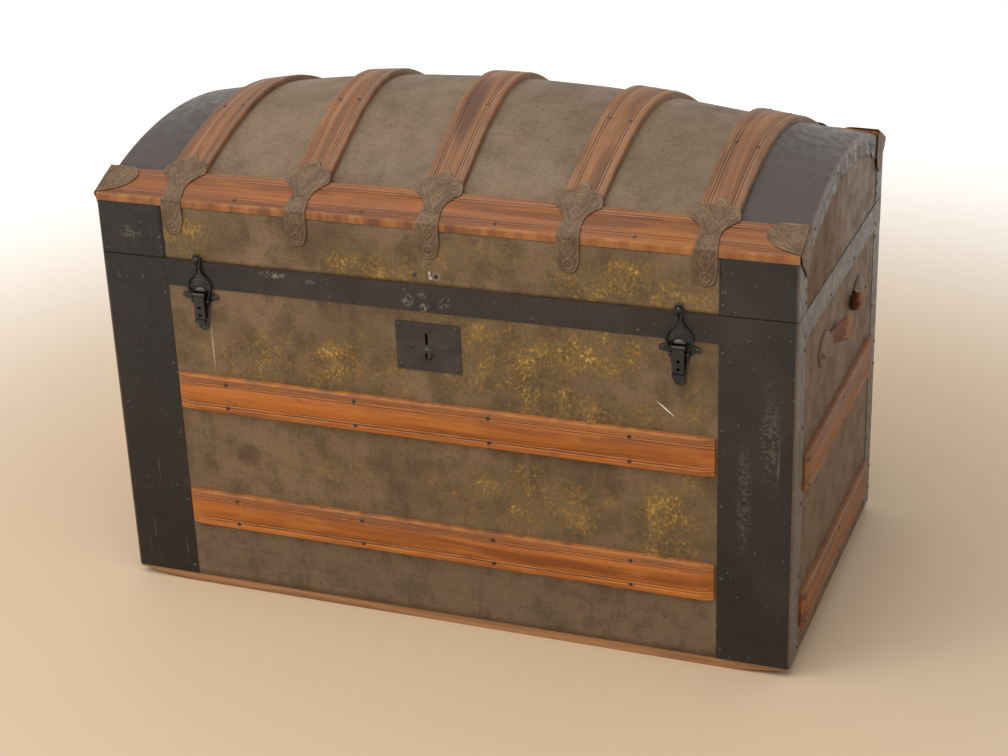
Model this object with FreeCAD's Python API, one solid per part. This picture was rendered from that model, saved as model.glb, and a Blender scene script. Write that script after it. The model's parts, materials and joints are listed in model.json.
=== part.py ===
import FreeCAD, Part
import math
import os

V = FreeCAD.Vector
os.makedirs("parts", exist_ok=True)

# Dome top trunk. X runs across the front, -Y is the front, +Z is up.
# The origin is on the floor, below the middle of the case. All sizes in mm.

# case and lid boards
box_w = 910.0
box_d = 484.0
case_h = 457.0
board_t = 10.0
panel_t = 6.0
corner_r = 3.0
batten_t = 13.0
batten_w = 42.0
batten_taper = 70.0
seam_gap = 0.8

# dome: arched over the ends, and swollen in the middle by a raised cosine
lid_wall_h = 71.0
dome_rise_mid = 120.0
dome_rise_end = 62.0
stations = 5
curve_points = 15
spare_x = 20.0
spare_y = 12.0
spare_z = 60.0

# coverings
canvas_t = 1.0
sheet_t = 0.8
band_t = 1.2
band_h = 35.0
corner_w = 93.0
corner_wrap = 42.0
dome_band_w = 105.0
end_wrap = 22.0
pleats = 13
pleat_spread = 0.94
slit_half = 2.4
slit_share = 0.55

# wood strips, all of one double grooved moulding
slat_w = 50.0
slat_t = 8.0
slat_inset = 3.0
groove_w = 1.4
groove_deep = 1.0
groove_in = 9.0
groove_gap = 3.5
nose = 2.4
slat_end_cut = 6.0
front_low_up = 82.0
front_high_down = 156.0
end_low_up = 35.0
end_high_down = 184.0
rail_w = 45.0
rail_lip = 1.0
batten_tip = 3.0

# dome strips: even spacing, but each nailed down by hand a little askew
dome_slat_in = 107.5
front_stray = (-0.5, -0.5, 2.5, 7.0, 0.0)
rear_stray = (27.0, 11.5, 16.0, 42.0, 11.5)

# clamps that hold the dome strips to the rails
clamp_t = 1.0
clamp_crest = 72.0
clamp_boss_r = 7.5
clamp_notch = 11.0
clamp_wing_half = 29.0
clamp_wing_low = 41.0
clamp_wing_high = 51.0
clamp_neck_half = 12.5
clamp_neck_back = 23.0
clamp_sweep = 3.5
clamp_waist = 1.0
clamp_tail_w = 31.0
clamp_tail_t = 2.0
clamp_tail_h = 38.5
clamp_lap = 2.0
clamp_lobe_r = 11.5
clamp_rivet_r = 4.5
clamp_rivet_in = 22.0
clamp_rivet_h = 1.0
bracket_len = 46.0
bracket_in = 2.0
bracket_w = 37.0

# latches: base plate, keeper knob, lever and loop
latch_in = 138.0
base_half = 15.0
base_waist = 10.0
waist_drop = 24.0
base_top_gap = 0.4
tab_drop = 42.0
tab_r = 8.0
ear_out = 21.5
ear_r = 4.6
ear_half = 2.6
ear_drop = 3.0
apron_lap = 6.0
apron_foot = 13.0
apron_neck = 3.0
apron_gap = 8.0
apron_proud = 1.2
hood_r = 8.6
hood_up = 1.0
hood_foot = 3.8
hood_out = 6.0
lug_r = 3.6
knob_plate_t = 1.2
knob_head_sink = 1.6
knob_up = 5.5
knob_stem_r = 2.2
knob_head_r = 5.0
pivot_down = 43.0
pivot_out = 7.0
loop_pin_drop = 9.0
loop_pin_out = 4.2
pin_r = 1.5
run_gap = 0.05
side_gap = 0.3
lever_half = 7.3
lever_len = 33.0
lever_in = 5.6
lever_t = 3.0
lip_h = 3.0
lip_out = 11.0
barrel_r = 3.1
boss_r = 2.4
lever_hole_r = 2.2
lever_holes = (17.0, 27.0)
pin_proud = 0.8
lug_t = 1.5
leg_t = 3.0
eye_gap = 0.4
eye_wall = 2.6
loop_belly = 15.6
belly_drop = 37.0
loop_neck = 3.4
loop_throat = 0.7
neck_drop = 8.0
socket_r = 2.7

# lock
lock_x = -4.0
lock_drop = 81.5
lock_w = 86.0
lock_h = 64.0
lock_plate_t = 1.2
lock_case_w = 50.0
lock_case_h = 42.0
lock_case_d = 14.0
well_gap = 0.5
keyhole_dx = -2.0
keyhole_drop = 9.0
keyhole_r = 1.9
key_bit_half = 1.1
key_bit_h = 6.0
key_boss_r = 8.5
key_boss_top_r = 6.5
key_boss_h = 2.6
staple_half = 1.8
staple_up = 12.0
staple_h = 15.0

# end handles
handle_drop = 88.0
cap_y = 98.0
cap_a = 32.0
cap_b = 22.0
cap_h = 7.0
cap_wall = 1.2
cap_rim = 4.0
cap_round = 4.0
gate_gap = 0.4
strap_w = 26.0
strap_t = 5.0
strap_bend_y = 0.74
strap_bend_x = 0.78
handle_out = 32.0
torn_w = 18.0
torn_out = 21.0
torn_hold = 6.0
flap_bend_y = 58.0
flap_tip_y = 28.0
stub_bend_y = 58.0
stub_tip_y = 46.0
ragged = 3.0

# hinges and lid stay
hinge_in = 225.0
hinge_w = 50.0
hinge_t = 1.6
hinge_leaf_h = 28.0
knuckle_r = 3.5
hinge_pin_r = 2.0
knuckle_half = 9.0
stay_case_r = 170.0
stay_lid_r = 120.0
stay_case_deg = 35.0
stay_lid_deg = 10.0
link_w = 15.0
link_t = 2.5
stud_r = 3.0
stud_plate_r = 11.0
stud_plate_t = 1.0
stud_head_over = 2.0
stud_head_t = 1.2
elbow_head_over = 1.6
elbow_head_t = 0.8
link_gap = 0.3
knuckle_gap = 0.4

# nails
nail_r = 2.6
nail_h = 1.0
tack_r = 2.0
tack_h = 0.8
nail_lift = 0.03
nail_in = 5.0
strip_nail_y = 75.0
strip_nail_u = 13.0
strip_nail_in = 8.5
slat_nail_far = 273.0
slat_nail_stray = -17.0
row_nail_in = 12.0
band_nail_in = 55.0
band_nail_up = 6.0
hinge_nail_x = 17.0
lock_rivet_out = 22.5
hasp_nails = (-24.0, 23.0)
hasp_marks = (-14.0, 14.0)
lid_low_nail = 12.0
lid_high_nail = 27.0

# derived levels and faces
half_w = box_w / 2
half_d = box_d / 2
case_z = batten_t
seam_z = case_z + case_h
lid_z = seam_z + seam_gap
spring_z = seam_z + lid_wall_h
band_z = seam_z - band_h
skin_y = half_d + canvas_t
skin_x = half_w + canvas_t
sheet_y = skin_y + sheet_t
sheet_x = skin_x + sheet_t
top_off = canvas_t + slat_t
metal_off = canvas_t + sheet_t
rail_y = skin_y + rail_lip
rail_inner_y = rail_y - rail_w
dome_band_x = half_w - dome_band_w
latch_x = half_w - latch_in
hinge_x = half_w - hinge_in
handle_z = seam_z - handle_drop
lock_z = seam_z - lock_drop
front_levels = (case_z + front_low_up, seam_z - front_high_down - slat_w)
end_levels = (case_z + end_low_up, seam_z - end_high_down - slat_w)
hinge_y = skin_y + band_t + knuckle_r + 0.5
hinge_z = seam_z + seam_gap / 2
pivot_z = seam_z - pivot_down
knob_z = seam_z + knob_up
loop_pin_z = pivot_z - loop_pin_drop
wall_x = half_w - board_t
above_dome = spring_z + dome_rise_mid + spare_z
below_dome = seam_z - spare_z / 2


def box(x0, x1, y0, y1, z0, z1):
    """Box between two corners."""
    return Part.makeBox(x1 - x0, y1 - y0, z1 - z0, V(x0, y0, z0))


def rod_x(r, x0, x1, y, z):
    """Cylinder along X."""
    return Part.makeCylinder(r, x1 - x0, V(x0, y, z), V(1, 0, 0))


def rod_y(r, x, y0, y1, z):
    """Cylinder along Y."""
    return Part.makeCylinder(r, y1 - y0, V(x, y0, z), V(0, 1, 0))


def fuse(shapes):
    """Join shapes into one solid."""
    first = shapes[0]
    whole = first.fuse(shapes[1:]) if len(shapes) > 1 else first
    return whole.removeSplitter()


def fuse_all(shapes):
    """Join shapes that may lie apart."""
    return shapes[0].fuse(shapes[1:])


def put(name, shapes):
    """Write one named piece, or one group of like fasteners."""
    solids = []
    for shape in shapes:
        solids.extend(shape.Solids)
    out = solids[0] if len(solids) == 1 else Part.makeCompound(solids)
    out.exportStep("parts/" + name + ".step")
    print(name, len(solids), round(sum(s.Volume for s in solids)))


def prism(points, direction):
    """Straight prism on a closed outline."""
    wire = Part.makePolygon(points + [points[0]])
    return Part.Face(wire).extrude(direction)


def block(grow, z0, z1):
    """Upright block with rounded corners, grown outward from the boards."""
    hx = half_w + grow
    hy = half_d + grow
    solid = box(-hx, hx, -hy, hy, z0, z1)
    upright = [e for e in solid.Edges if abs(e.tangentAt(0).z) > 0.9]
    return solid.makeFillet(corner_r + grow, upright)


# ---- dome surface ----

def arch_radius():
    """Radius of the plain arch over each end."""
    return (half_d ** 2 + dome_rise_end ** 2) / (2 * dome_rise_end)


def arch_centre():
    """Height of that arch's centre."""
    return spring_z + dome_rise_end - arch_radius()


def board_z(x, y):
    """Height of the bent boards: the end arch plus the swelling of the middle."""
    swell = (dome_rise_mid - dome_rise_end) * (1 - (x / half_w) ** 2)
    arch = arch_centre() + math.sqrt(arch_radius() ** 2 - y ** 2)
    return arch + swell * (1 + math.cos(math.pi * y / half_d)) / 2


def board_slope(x, y):
    """Slope of the boards across the trunk."""
    return (board_z(x, y + 0.5) - board_z(x, y - 0.5))


def raised(x, y, off):
    """Point that lies off from the boards, square to the cross section."""
    slope = board_slope(x, y)
    length = math.hypot(1, slope)
    return V(x, y - off * slope / length, board_z(x, y) + off / length)


def dome_z(x, y, off):
    """Height of the surface that lies off outside the boards."""
    foot = y
    for _ in range(6):
        foot += y - raised(x, foot, off).y
    return raised(x, foot, off).z


def dome_normal(x, y, off):
    """Outward normal of the dome."""
    dx = dome_z(x + 1, y, off) - dome_z(x - 1, y, off)
    dy = dome_z(x, y + 1, off) - dome_z(x, y - 1, off)
    return V(-dx / 2, -dy / 2, 1).normalize()


def section(x, off):
    """Closed cross section: curve on top, straight walls, flat floor."""
    reach = half_d + spare_y
    ys = [reach * (2 * i / (curve_points - 1) - 1) for i in range(curve_points)]
    points = [raised(x, y, off) for y in ys]
    curve = Part.BSplineCurve()
    curve.interpolate(points)
    left = points[0]
    right = points[-1]
    low_left = V(x, left.y, below_dome)
    low_right = V(x, right.y, below_dome)
    sides = [Part.makeLine(right, low_right), Part.makeLine(low_right, low_left),
             Part.makeLine(low_left, left)]
    return Part.Wire([curve.toShape()] + sides)


under_cache = {}


def under(off):
    """Everything below the dome surface at an offset."""
    key = round(off, 4)
    if key not in under_cache:
        reach = half_w + spare_x
        step = 2 * reach / (stations - 1)
        wires = [section(-reach + i * step, off) for i in range(stations)]
        under_cache[key] = Part.makeLoft(wires, True, False)
    return under_cache[key]


def layer(low, high, zone):
    """Part of a zone that lies between two dome offsets."""
    return zone.common(under(high)).cut(under(low))


def lid_block(grow):
    """Outside shape of the lid at a covering thickness."""
    return block(grow, lid_z, above_dome).common(under(grow))


# ---- fasteners ----

def nail(point, normal, r=nail_r, h=nail_h):
    """Low six sided nail head."""
    axis = V(normal).normalize()
    side = axis.cross(V(0.3, 0.2, 1)) if abs(axis.z) < 0.9 else axis.cross(V(1, 0, 0))
    side.normalize()
    across = axis.cross(side)
    base = point + axis * nail_lift
    low = []
    high = []
    for i in range(6):
        turn = math.pi * i / 3
        spoke = side * math.cos(turn) + across * math.sin(turn)
        low.append(base + spoke * r)
        high.append(base + axis * h + spoke * (r * 0.6))
    rings = [Part.makePolygon(ring + [ring[0]]) for ring in (low, high)]
    return Part.makeLoft(rings, True, True)


def dome_nail(x, y, off, r=nail_r, h=nail_h):
    """Nail head set on the dome or on a strip of it."""
    normal = dome_normal(x, y, off)
    point = V(x, y, dome_z(x, y, off)) + normal * nail_lift
    return nail(point, normal, r, h)


def spread(low, high, count):
    """Evenly spaced values."""
    return [low + (high - low) * i / (count - 1) for i in range(count)]


# ---- case ----

def lock_well():
    """Opening for the lock case through the front board and its canvas."""
    half_x = lock_case_w / 2 + well_gap
    half_z = lock_case_h / 2 + well_gap
    return box(lock_x - half_x, lock_x + half_x, -half_d - spare_y, board_t + 1 - half_d,
               lock_z - half_z, lock_z + half_z)


def case_boards():
    """Four walls and the floor board."""
    rounded = block(0, case_z, seam_z)
    wall_z = case_z + board_t
    inner_y = half_d - board_t
    put("case_bottom", [rounded.common(box(-half_w, half_w, -half_d, half_d, case_z, wall_z))])
    front = rounded.common(box(-half_w, half_w, -half_d, -inner_y, wall_z, seam_z))
    put("case_front", [front.cut(lock_well())])
    put("case_back", [rounded.common(box(-half_w, half_w, inner_y, half_d, wall_z, seam_z))])
    put("case_left_end", [box(-half_w, -wall_x, -inner_y, inner_y, wall_z, seam_z)])
    put("case_right_end", [box(wall_x, half_w, -inner_y, inner_y, wall_z, seam_z)])


def case_cover():
    """Canvas around the four walls, cut out behind the lock."""
    skin = block(canvas_t, case_z, seam_z).cut(block(0, case_z, seam_z))
    put("case_canvas", [skin.cut(lock_well())])
    low = canvas_t
    put("rim_band", [block(low + band_t, band_z, seam_z).cut(block(low, band_z, seam_z))])


def corner_sheets():
    """Folded metal at the four upright corners."""
    ring = block(metal_off, case_z, band_z).cut(block(canvas_t, case_z, band_z))
    inner_x = sheet_x - corner_w
    inner_y = sheet_y - corner_wrap
    for front, side_y in (("front", -1), ("rear", 1)):
        for hand, side_x in (("left", -1), ("right", 1)):
            xs = sorted([side_x * inner_x, side_x * (sheet_x + 1)])
            ys = sorted([side_y * inner_y, side_y * (sheet_y + 1)])
            zone = box(xs[0], xs[1], ys[0], ys[1], case_z, band_z)
            put("corner_" + front + "_" + hand, [ring.common(zone)])


def strip_profile(thick):
    """Outline of a grooved strip: u along the width, v off the face."""
    half = slat_w / 2
    outer = half - groove_in
    inner = outer - groove_gap
    points = [(-half, 0.0), (half, 0.0), (half, thick - nose), (half - nose, thick)]
    for u in (outer, inner, -inner, -outer):
        points.append((u + groove_w / 2, thick))
        points.append((u, thick - groove_deep))
        points.append((u - groove_w / 2, thick))
    points.append((nose - half, thick))
    points.append((-half, thick - nose))
    return points


def straight_slat(length):
    """Strip along X with its back on y = 0, facing -Y, with bevelled ends."""
    half = length / 2
    outline = [V(-half, -v, u) for u, v in strip_profile(slat_t)]
    strip = prism(outline, V(length, 0, 0))
    tall = slat_w / 2 + 1
    for side in (-1, 1):
        corner = [V(side * half, -slat_t - 1, -tall), V(side * (half - slat_end_cut), -slat_t - 1, -tall),
                  V(side * half, -slat_t + slat_end_cut / 2, -tall)]
        strip = strip.cut(prism(corner, V(0, 0, 2 * tall)))
    return strip


def place(shape, turn_deg, x, y, z):
    """Copy turned about Z and moved."""
    moved = shape.copy()
    moved.rotate(V(0, 0, 0), V(0, 0, 1), turn_deg)
    moved.translate(V(x, y, z))
    return moved


def case_slats():
    """Two strips on each wall, clear of the corner sheets."""
    long_slat = straight_slat(2 * (sheet_x - corner_w - slat_inset))
    short_slat = straight_slat(2 * (sheet_y - corner_wrap - slat_inset))
    for row, level in zip(("lower", "upper"), front_levels):
        z = level + slat_w / 2
        put("slat_front_" + row, [place(long_slat, 0, 0, -skin_y, z)])
        put("slat_back_" + row, [place(long_slat, 180, 0, skin_y, z)])
    for row, level in zip(("lower", "upper"), end_levels):
        z = level + slat_w / 2
        put("slat_left_" + row, [place(short_slat, -90, -skin_x, 0, z)])
        put("slat_right_" + row, [place(short_slat, 90, skin_x, 0, z)])


def battens():
    """Skids under the case with tapered ends."""
    outline = [V(-half_w, 0, case_z), V(half_w, 0, case_z), V(half_w, 0, case_z - batten_tip),
               V(half_w - batten_taper, 0, 0), V(batten_taper - half_w, 0, 0),
               V(-half_w, 0, case_z - batten_tip)]
    skid = prism(outline, V(0, batten_w, 0))
    put("batten_front", [place(skid, 0, 0, -half_d, 0)])
    put("batten_rear", [place(skid, 0, 0, half_d - batten_w, 0)])


# ---- lid ----

def lid_boards():
    """Low walls of the lid and the bent panel over them."""
    rounded = block(0, lid_z, above_dome)
    body = rounded.common(under(-panel_t))
    inner_y = half_d - board_t
    top = above_dome
    put("lid_front", [body.common(box(-half_w, half_w, -half_d, -inner_y, lid_z, top))])
    put("lid_back", [body.common(box(-half_w, half_w, inner_y, half_d, lid_z, top))])
    put("lid_left_end", [body.common(box(-half_w, -wall_x, -inner_y, inner_y, lid_z, top))])
    put("lid_right_end", [body.common(box(wall_x, half_w, -inner_y, inner_y, lid_z, top))])
    put("dome_panel", [layer(-panel_t, 0, rounded)])


def lid_covers():
    """Canvas over the lid and the dark metal over its two ends."""
    boards = lid_block(0)
    skin = lid_block(canvas_t)
    metal = lid_block(metal_off)
    put("lid_canvas", [skin.cut(boards)])
    shell = metal.cut(skin)
    wall_in = sheet_x - corner_w
    for hand, side in (("left", -1), ("right", 1)):
        far = sheet_x + spare_x
        upper = across(side * dome_band_x, side * far, spring_z, above_dome)
        lower = across(side * wall_in, side * far, lid_z, spring_z)
        piece = shell.common(fuse([upper, lower]))
        piece = piece.cut(end_window(side))
        put("lid_band_" + hand, [piece])


def across(xa, xb, z0, z1):
    """Full depth box between two x positions given in any order."""
    x0 = min(xa, xb)
    x1 = max(xa, xb)
    deep = half_d + spare_y
    return box(x0, x1, -deep, deep, z0, z1)


def end_window(side):
    """Part of the end face left bare, with a slit under each pleat."""
    x0 = min(side * skin_x, side * (sheet_x + 1))
    x1 = max(side * skin_x, side * (sheet_x + 1))
    inner = sheet_y - corner_wrap
    zone = box(x0, x1, -inner, inner, lid_z - 1, above_dome)
    window = zone.common(under(-end_wrap))
    r = arch_radius()
    tip = r - end_wrap * (1 - slit_share)
    slits = []
    for turn in pleat_turns(pleats, 0):
        points = [V(x0, -slit_half, r - end_wrap - 2), V(x0, slit_half, r - end_wrap - 2),
                  V(x0, 0, tip)]
        slit = prism(points, V(x1 - x0, 0, 0))
        slit.rotate(V(0, 0, 0), V(1, 0, 0), turn)
        slit.translate(V(0, 0, arch_centre()))
        slits.append(slit)
    return window.fuse(slits)


def pleat_turns(count, inset):
    """Evenly spaced turns along the end arch, in degrees."""
    edge = math.degrees(math.asin((sheet_y - corner_wrap) / arch_radius())) * pleat_spread
    return spread(-edge + inset, edge - inset, count)


def slat_ends(number):
    """Where the middle line of a dome strip meets the front and the rear rail."""
    pitch = (half_w - dome_slat_in) / 2
    middle = pitch * (number - 2)
    return middle + front_stray[number], middle + rear_stray[number]


def slat_x(number, y):
    """Middle of a dome strip at a depth."""
    front, rear = slat_ends(number)
    return front + (rear - front) * (y + rail_inner_y) / (2 * rail_inner_y)


def slat_zone(number, u0, u1):
    """Upright prism over part of a dome strip's width."""
    front, rear = slat_ends(number)
    low = below_dome
    points = [V(front + u0, -rail_inner_y, low), V(front + u1, -rail_inner_y, low),
              V(rear + u1, rail_inner_y, low), V(rear + u0, rail_inner_y, low)]
    return prism(points, V(0, 0, above_dome - low))


def dome_slats():
    """Five bent strips over the dome; the outer two cover the edges of the end metal."""
    half = slat_w / 2
    metal = [across(side * dome_band_x, side * (sheet_x + spare_x), spring_z, above_dome)
             for side in (-1, 1)]
    for number in range(5):
        strip = layer(canvas_t, top_off, slat_zone(number, -half, half))
        for side in (-1, 1):
            for inset in (groove_in, groove_in + groove_gap):
                u = side * (half - inset)
                cutter = slat_zone(number, u - groove_w / 2, u + groove_w / 2)
                strip = strip.cut(cutter.cut(under(top_off - groove_deep)))
            edge = sorted([side * half, side * (half - nose)])
            strip = strip.cut(slat_zone(number, edge[0], edge[1]).cut(under(top_off - nose)))
        if number in (0, 4):
            strip = strip.cut(fuse_all(metal).common(under(metal_off)))
        put("dome_slat_" + str(number + 1), [strip])


def rails():
    """Wood strips along the springing lines, laid on canvas and end metal."""
    for name, side in (("rail_front", -1), ("rail_rear", 1)):
        ys = sorted([side * rail_inner_y, side * rail_y])
        pieces = []
        for x0, x1, low in ((-sheet_x, -dome_band_x, metal_off),
                            (-dome_band_x, dome_band_x, canvas_t),
                            (dome_band_x, sheet_x, metal_off)):
            zone = box(x0, x1, ys[0], ys[1], seam_z, above_dome)
            pieces.append(layer(low, top_off, zone))
        rail = fuse(pieces)
        for inset in (groove_in, rail_w - groove_in - groove_gap, rail_w - groove_in):
            place_y = side * (rail_y - inset)
            groove = box(-sheet_x, sheet_x, place_y - groove_w / 2, place_y + groove_w / 2,
                         seam_z, above_dome)
            rail = rail.cut(groove.cut(under(top_off - groove_deep)))
        ys = sorted([side * (rail_y - nose), side * rail_y])
        front = box(-sheet_x, sheet_x, ys[0], ys[1], seam_z, above_dome)
        rail = rail.cut(front.cut(under(top_off - nose)))
        put(name, [rail])


def clamp_outline(x, side):
    """Plan of a clamp from its crest down to the fold: a boss, two lobes, wings and a neck."""
    def at(u, back):
        return V(x + u, side * (rail_y - back), below_dome)

    def arc(hand, start, end, bulge_u, bulge_back):
        middle = (start[0] + end[0]) / 2 + bulge_u, (start[1] + end[1]) / 2 + bulge_back
        ends = [at(hand * u, back) for u, back in (start, middle, end)]
        return Part.Arc(*ends).toShape()

    def line(hand, start, end):
        return Part.makeLine(at(hand * start[0], start[1]), at(hand * end[0], end[1]))
    boss = clamp_boss_r
    bulge = boss * (math.sqrt(0.5) - 0.5)
    crest = (0, clamp_crest)
    boss_side = (boss, clamp_crest - boss)
    notch = (boss + clamp_sweep, clamp_crest - clamp_notch)
    wing_high = (clamp_wing_half, clamp_wing_high)
    wing_low = (clamp_wing_half, clamp_wing_low)
    neck = (clamp_neck_half, clamp_neck_back)
    fold = (clamp_tail_w / 2, -clamp_t)
    edges = [Part.makeLine(at(-fold[0], fold[1]), at(*fold))]
    for hand in (-1, 1):
        edges.append(arc(hand, crest, boss_side, bulge, bulge))
        edges.append(line(hand, boss_side, notch))
        edges.append(arc(hand, notch, wing_high, clamp_sweep, clamp_sweep))
        edges.append(line(hand, wing_high, wing_low))
        edges.append(arc(hand, wing_low, neck, -clamp_sweep, clamp_sweep))
        edges.append(arc(hand, neck, fold, -clamp_waist, 0))
    face = Part.Face(Part.Wire(Part.__sortEdges__(edges)))
    return face.extrude(V(0, 0, above_dome - below_dome))


def clamp(x, side):
    """Pressed clamp: head on strip and rail, fold over the rail, tail on the wall."""
    half = clamp_tail_w / 2
    outer = top_off + clamp_t
    pieces = [layer(top_off, outer, clamp_outline(x, side))]
    lap = spring_z - clamp_lap
    ys = sorted([side * rail_y, side * (rail_y + clamp_t)])
    fold = box(x - half, x + half, ys[0], ys[1], lap - clamp_lap, above_dome)
    pieces.append(fold.common(under(outer)))
    lobe_z = spring_z - clamp_tail_h + clamp_lobe_r
    ys = sorted([side * skin_y, side * (skin_y + clamp_tail_t)])
    pieces.append(box(x - half, x + half, ys[0], ys[1], lobe_z, lap))
    pieces.append(rod_y(clamp_lobe_r, x, ys[0], ys[1], lobe_z))
    ys = sorted([side * skin_y, side * (skin_y + clamp_tail_t + clamp_rivet_h)])
    pieces.append(rod_y(clamp_rivet_r, x, ys[0], ys[1], lobe_z))
    rivet_y = side * (rail_y - clamp_rivet_in)
    normal = dome_normal(x, rivet_y, top_off)
    foot = V(x, rivet_y, dome_z(x, rivet_y, top_off)) + normal * (clamp_t / 2)
    pieces.append(Part.makeCylinder(clamp_rivet_r, clamp_t / 2 + clamp_rivet_h, foot, normal))
    return fuse(pieces).cut(wall_metal())


def wall_metal():
    """Space inside the face of the metal on the lid's two ends."""
    inner = sheet_x - corner_w
    pads = [box(-sheet_x, -inner, -sheet_y, sheet_y, lid_z, spring_z),
            box(inner, sheet_x, -sheet_y, sheet_y, lid_z, spring_z)]
    return fuse_all(pads)


def clamps():
    """Ten like clamps, one at each end of each dome strip."""
    solids = []
    for number in range(5):
        front, rear = slat_ends(number)
        solids.append(clamp(front, -1))
        solids.append(clamp(rear, 1))
    put("slat_clamps", solids)


def rail_brackets():
    """Leaf shaped sheet at each rail end, folded down over the end grain."""
    solids = []
    for side_x in (-1, 1):
        for side_y in (-1, 1):
            tip = sheet_x + clamp_t

            def at(back_x, back_y):
                return V(side_x * (tip - back_x), side_y * (rail_y - back_y), below_dome)
            far = bracket_in + bracket_w
            shoulder = bracket_len - bracket_w / 2
            edges = [Part.makeLine(at(0, bracket_in), at(shoulder, bracket_in)),
                     Part.Arc(at(shoulder, bracket_in), at(bracket_len, bracket_in + bracket_w / 2),
                              at(shoulder, far)).toShape(),
                     Part.makeLine(at(shoulder, far), at(0, far)),
                     Part.makeLine(at(0, far), at(0, bracket_in))]
            plan = Part.Face(Part.Wire(edges)).extrude(V(0, 0, above_dome - below_dome))
            whole = layer(metal_off, top_off + clamp_t, plan)
            wood = box(-sheet_x, sheet_x, -half_d, half_d, seam_z, above_dome)
            solids.append(whole.cut(wood.common(under(top_off))))
    put("rail_brackets", solids)


# ---- latches ----

def shield(x, face, back):
    """Lower plate of a latch, wide at the ears and drawn in to the rivet tab."""
    top = band_z - base_top_gap
    ear_z = pivot_z - ear_drop
    tab_z = pivot_z - tab_drop
    half = [(tab_r, tab_z), (base_waist, pivot_z - waist_drop), (base_half, ear_z), (base_half, top)]
    points = [V(x + u, face, z) for u, z in half]
    points += [V(x - u, face, z) for u, z in reversed(half)]
    return prism(points, V(0, back - face, 0))


def apron(x, back):
    """Upper plate that lies on the band and narrows up to the loop's neck."""
    foot_z = band_z - apron_lap
    front = back - band_t - apron_proud
    thick = V(0, apron_proud, 0)
    root = box(x - apron_foot, x + apron_foot, front, back, foot_z, band_z - base_top_gap)
    points = [V(x - apron_foot, front, foot_z), V(x - apron_foot, front, band_z),
              V(x - apron_neck, front, seam_z - apron_gap), V(x + apron_neck, front, seam_z - apron_gap),
              V(x + apron_foot, front, band_z), V(x + apron_foot, front, foot_z)]
    return fuse([root, prism(points, thick)])


def hood(x, back):
    """Pressed arch that stands over the lever's barrel, clear of the band behind its top."""
    centre = pivot_z + hood_up
    front = back - hood_out
    on_band = back - band_t
    arch = rod_y(hood_r, x, front, on_band, centre)
    reach = hood_r + 1
    return arch.common(box(x - reach, x + reach, front, on_band, pivot_z + hood_foot, centre + reach))


def latch_base(x):
    """Plate with two ears, a rivet tab, an arched hood and two lugs for the lever."""
    back = -skin_y
    face = back - lock_plate_t
    pivot_y = back - pivot_out
    tab_z = pivot_z - tab_drop
    ear_z = pivot_z - ear_drop
    plate = [shield(x, face, back), apron(x, back), hood(x, back), rod_y(tab_r, x, face, back, tab_z)]
    for side in (-1, 1):
        xs = sorted([x, x + side * ear_out])
        plate.append(box(xs[0], xs[1], face, back, ear_z - ear_half, ear_z + ear_half))
        plate.append(rod_y(ear_r, x + side * ear_out, face, back, ear_z))
        lug_in = lever_half + side_gap
        xs = sorted([x + side * lug_in, x + side * (lug_in + lug_t)])
        lug = [box(xs[0], xs[1], pivot_y, back, pivot_z - lug_r, pivot_z + lug_r)]
        lug.append(rod_x(lug_r, xs[0], xs[1], pivot_y, pivot_z))
        hole = rod_x(pin_r, xs[0] - 1, xs[1] + 1, pivot_y, pivot_z)
        plate.append(fuse(lug).cut(hole))
    return fuse(plate)


def latch_pin(x):
    """Pin fixed in the lugs, on which the lever turns."""
    reach = lever_half + side_gap + lug_t
    return rod_x(pin_r, x - reach, x + reach, -skin_y - pivot_out, pivot_z)


def latch_lever(x):
    """Hand lever, its cross pins for the loop and a turned-out lip."""
    left = x - lever_half
    right = x + lever_half
    pivot_y = -skin_y - pivot_out
    pin_y = -skin_y - loop_pin_out
    back = -skin_y - lever_in
    face = back - lever_t
    foot_z = pivot_z - lever_len
    barrel = rod_x(barrel_r, left, right, pivot_y, pivot_z)
    plate = box(left, right, face, back, foot_z, pivot_z)
    lip = box(left, right, -skin_y - lip_out, back, foot_z - lip_h, foot_z)
    boss = rod_x(boss_r, left, right, pin_y, loop_pin_z)
    web = box(left, right, face, pin_y, loop_pin_z - boss_r, loop_pin_z + boss_r)
    reach = lever_half + side_gap + lug_t + side_gap + leg_t + pin_proud
    pins = rod_x(pin_r, x - reach, x + reach, pin_y, loop_pin_z)
    lever = fuse([barrel, plate, lip, boss, web])
    for drop in lever_holes:
        lever = lever.cut(rod_y(lever_hole_r, x, face - 1, pin_y + boss_r, pivot_z - drop))
    lever = lever.cut(rod_x(pin_r + run_gap, left - 1, right + 1, pivot_y, pivot_z))
    return fuse([lever, pins])


def pear(halves, foot_z, top_z, y):
    """Face swelling from the foot to the belly, then drawn in to a narrow neck."""
    foot, belly, neck = halves
    belly_z = knob_z - belly_drop
    neck_z = seam_z - neck_drop
    sides = []
    for side in (1, -1):
        curve = Part.BSplineCurve()
        points = [V(side * foot, y, loop_pin_z), V(side * belly, y, belly_z), V(side * neck, y, neck_z)]
        curve.interpolate(Points=points, InitialTangent=V(0, 0, 1), FinalTangent=V(0, 0, 1))
        sides.append(curve.toShape())
    low = [Part.makeLine(V(side * foot, y, foot_z), V(side * foot, y, loop_pin_z)) for side in (1, -1)]
    high = [Part.makeLine(V(side * neck, y, neck_z), V(side * neck, y, top_z)) for side in (1, -1)]
    ends = [Part.makeLine(V(-half, y, z), V(half, y, z)) for half, z in ((foot, foot_z), (neck, top_z))]
    return Part.Face(Part.Wire(Part.sortEdges(sides + low + high + ends)[0]))


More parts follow.
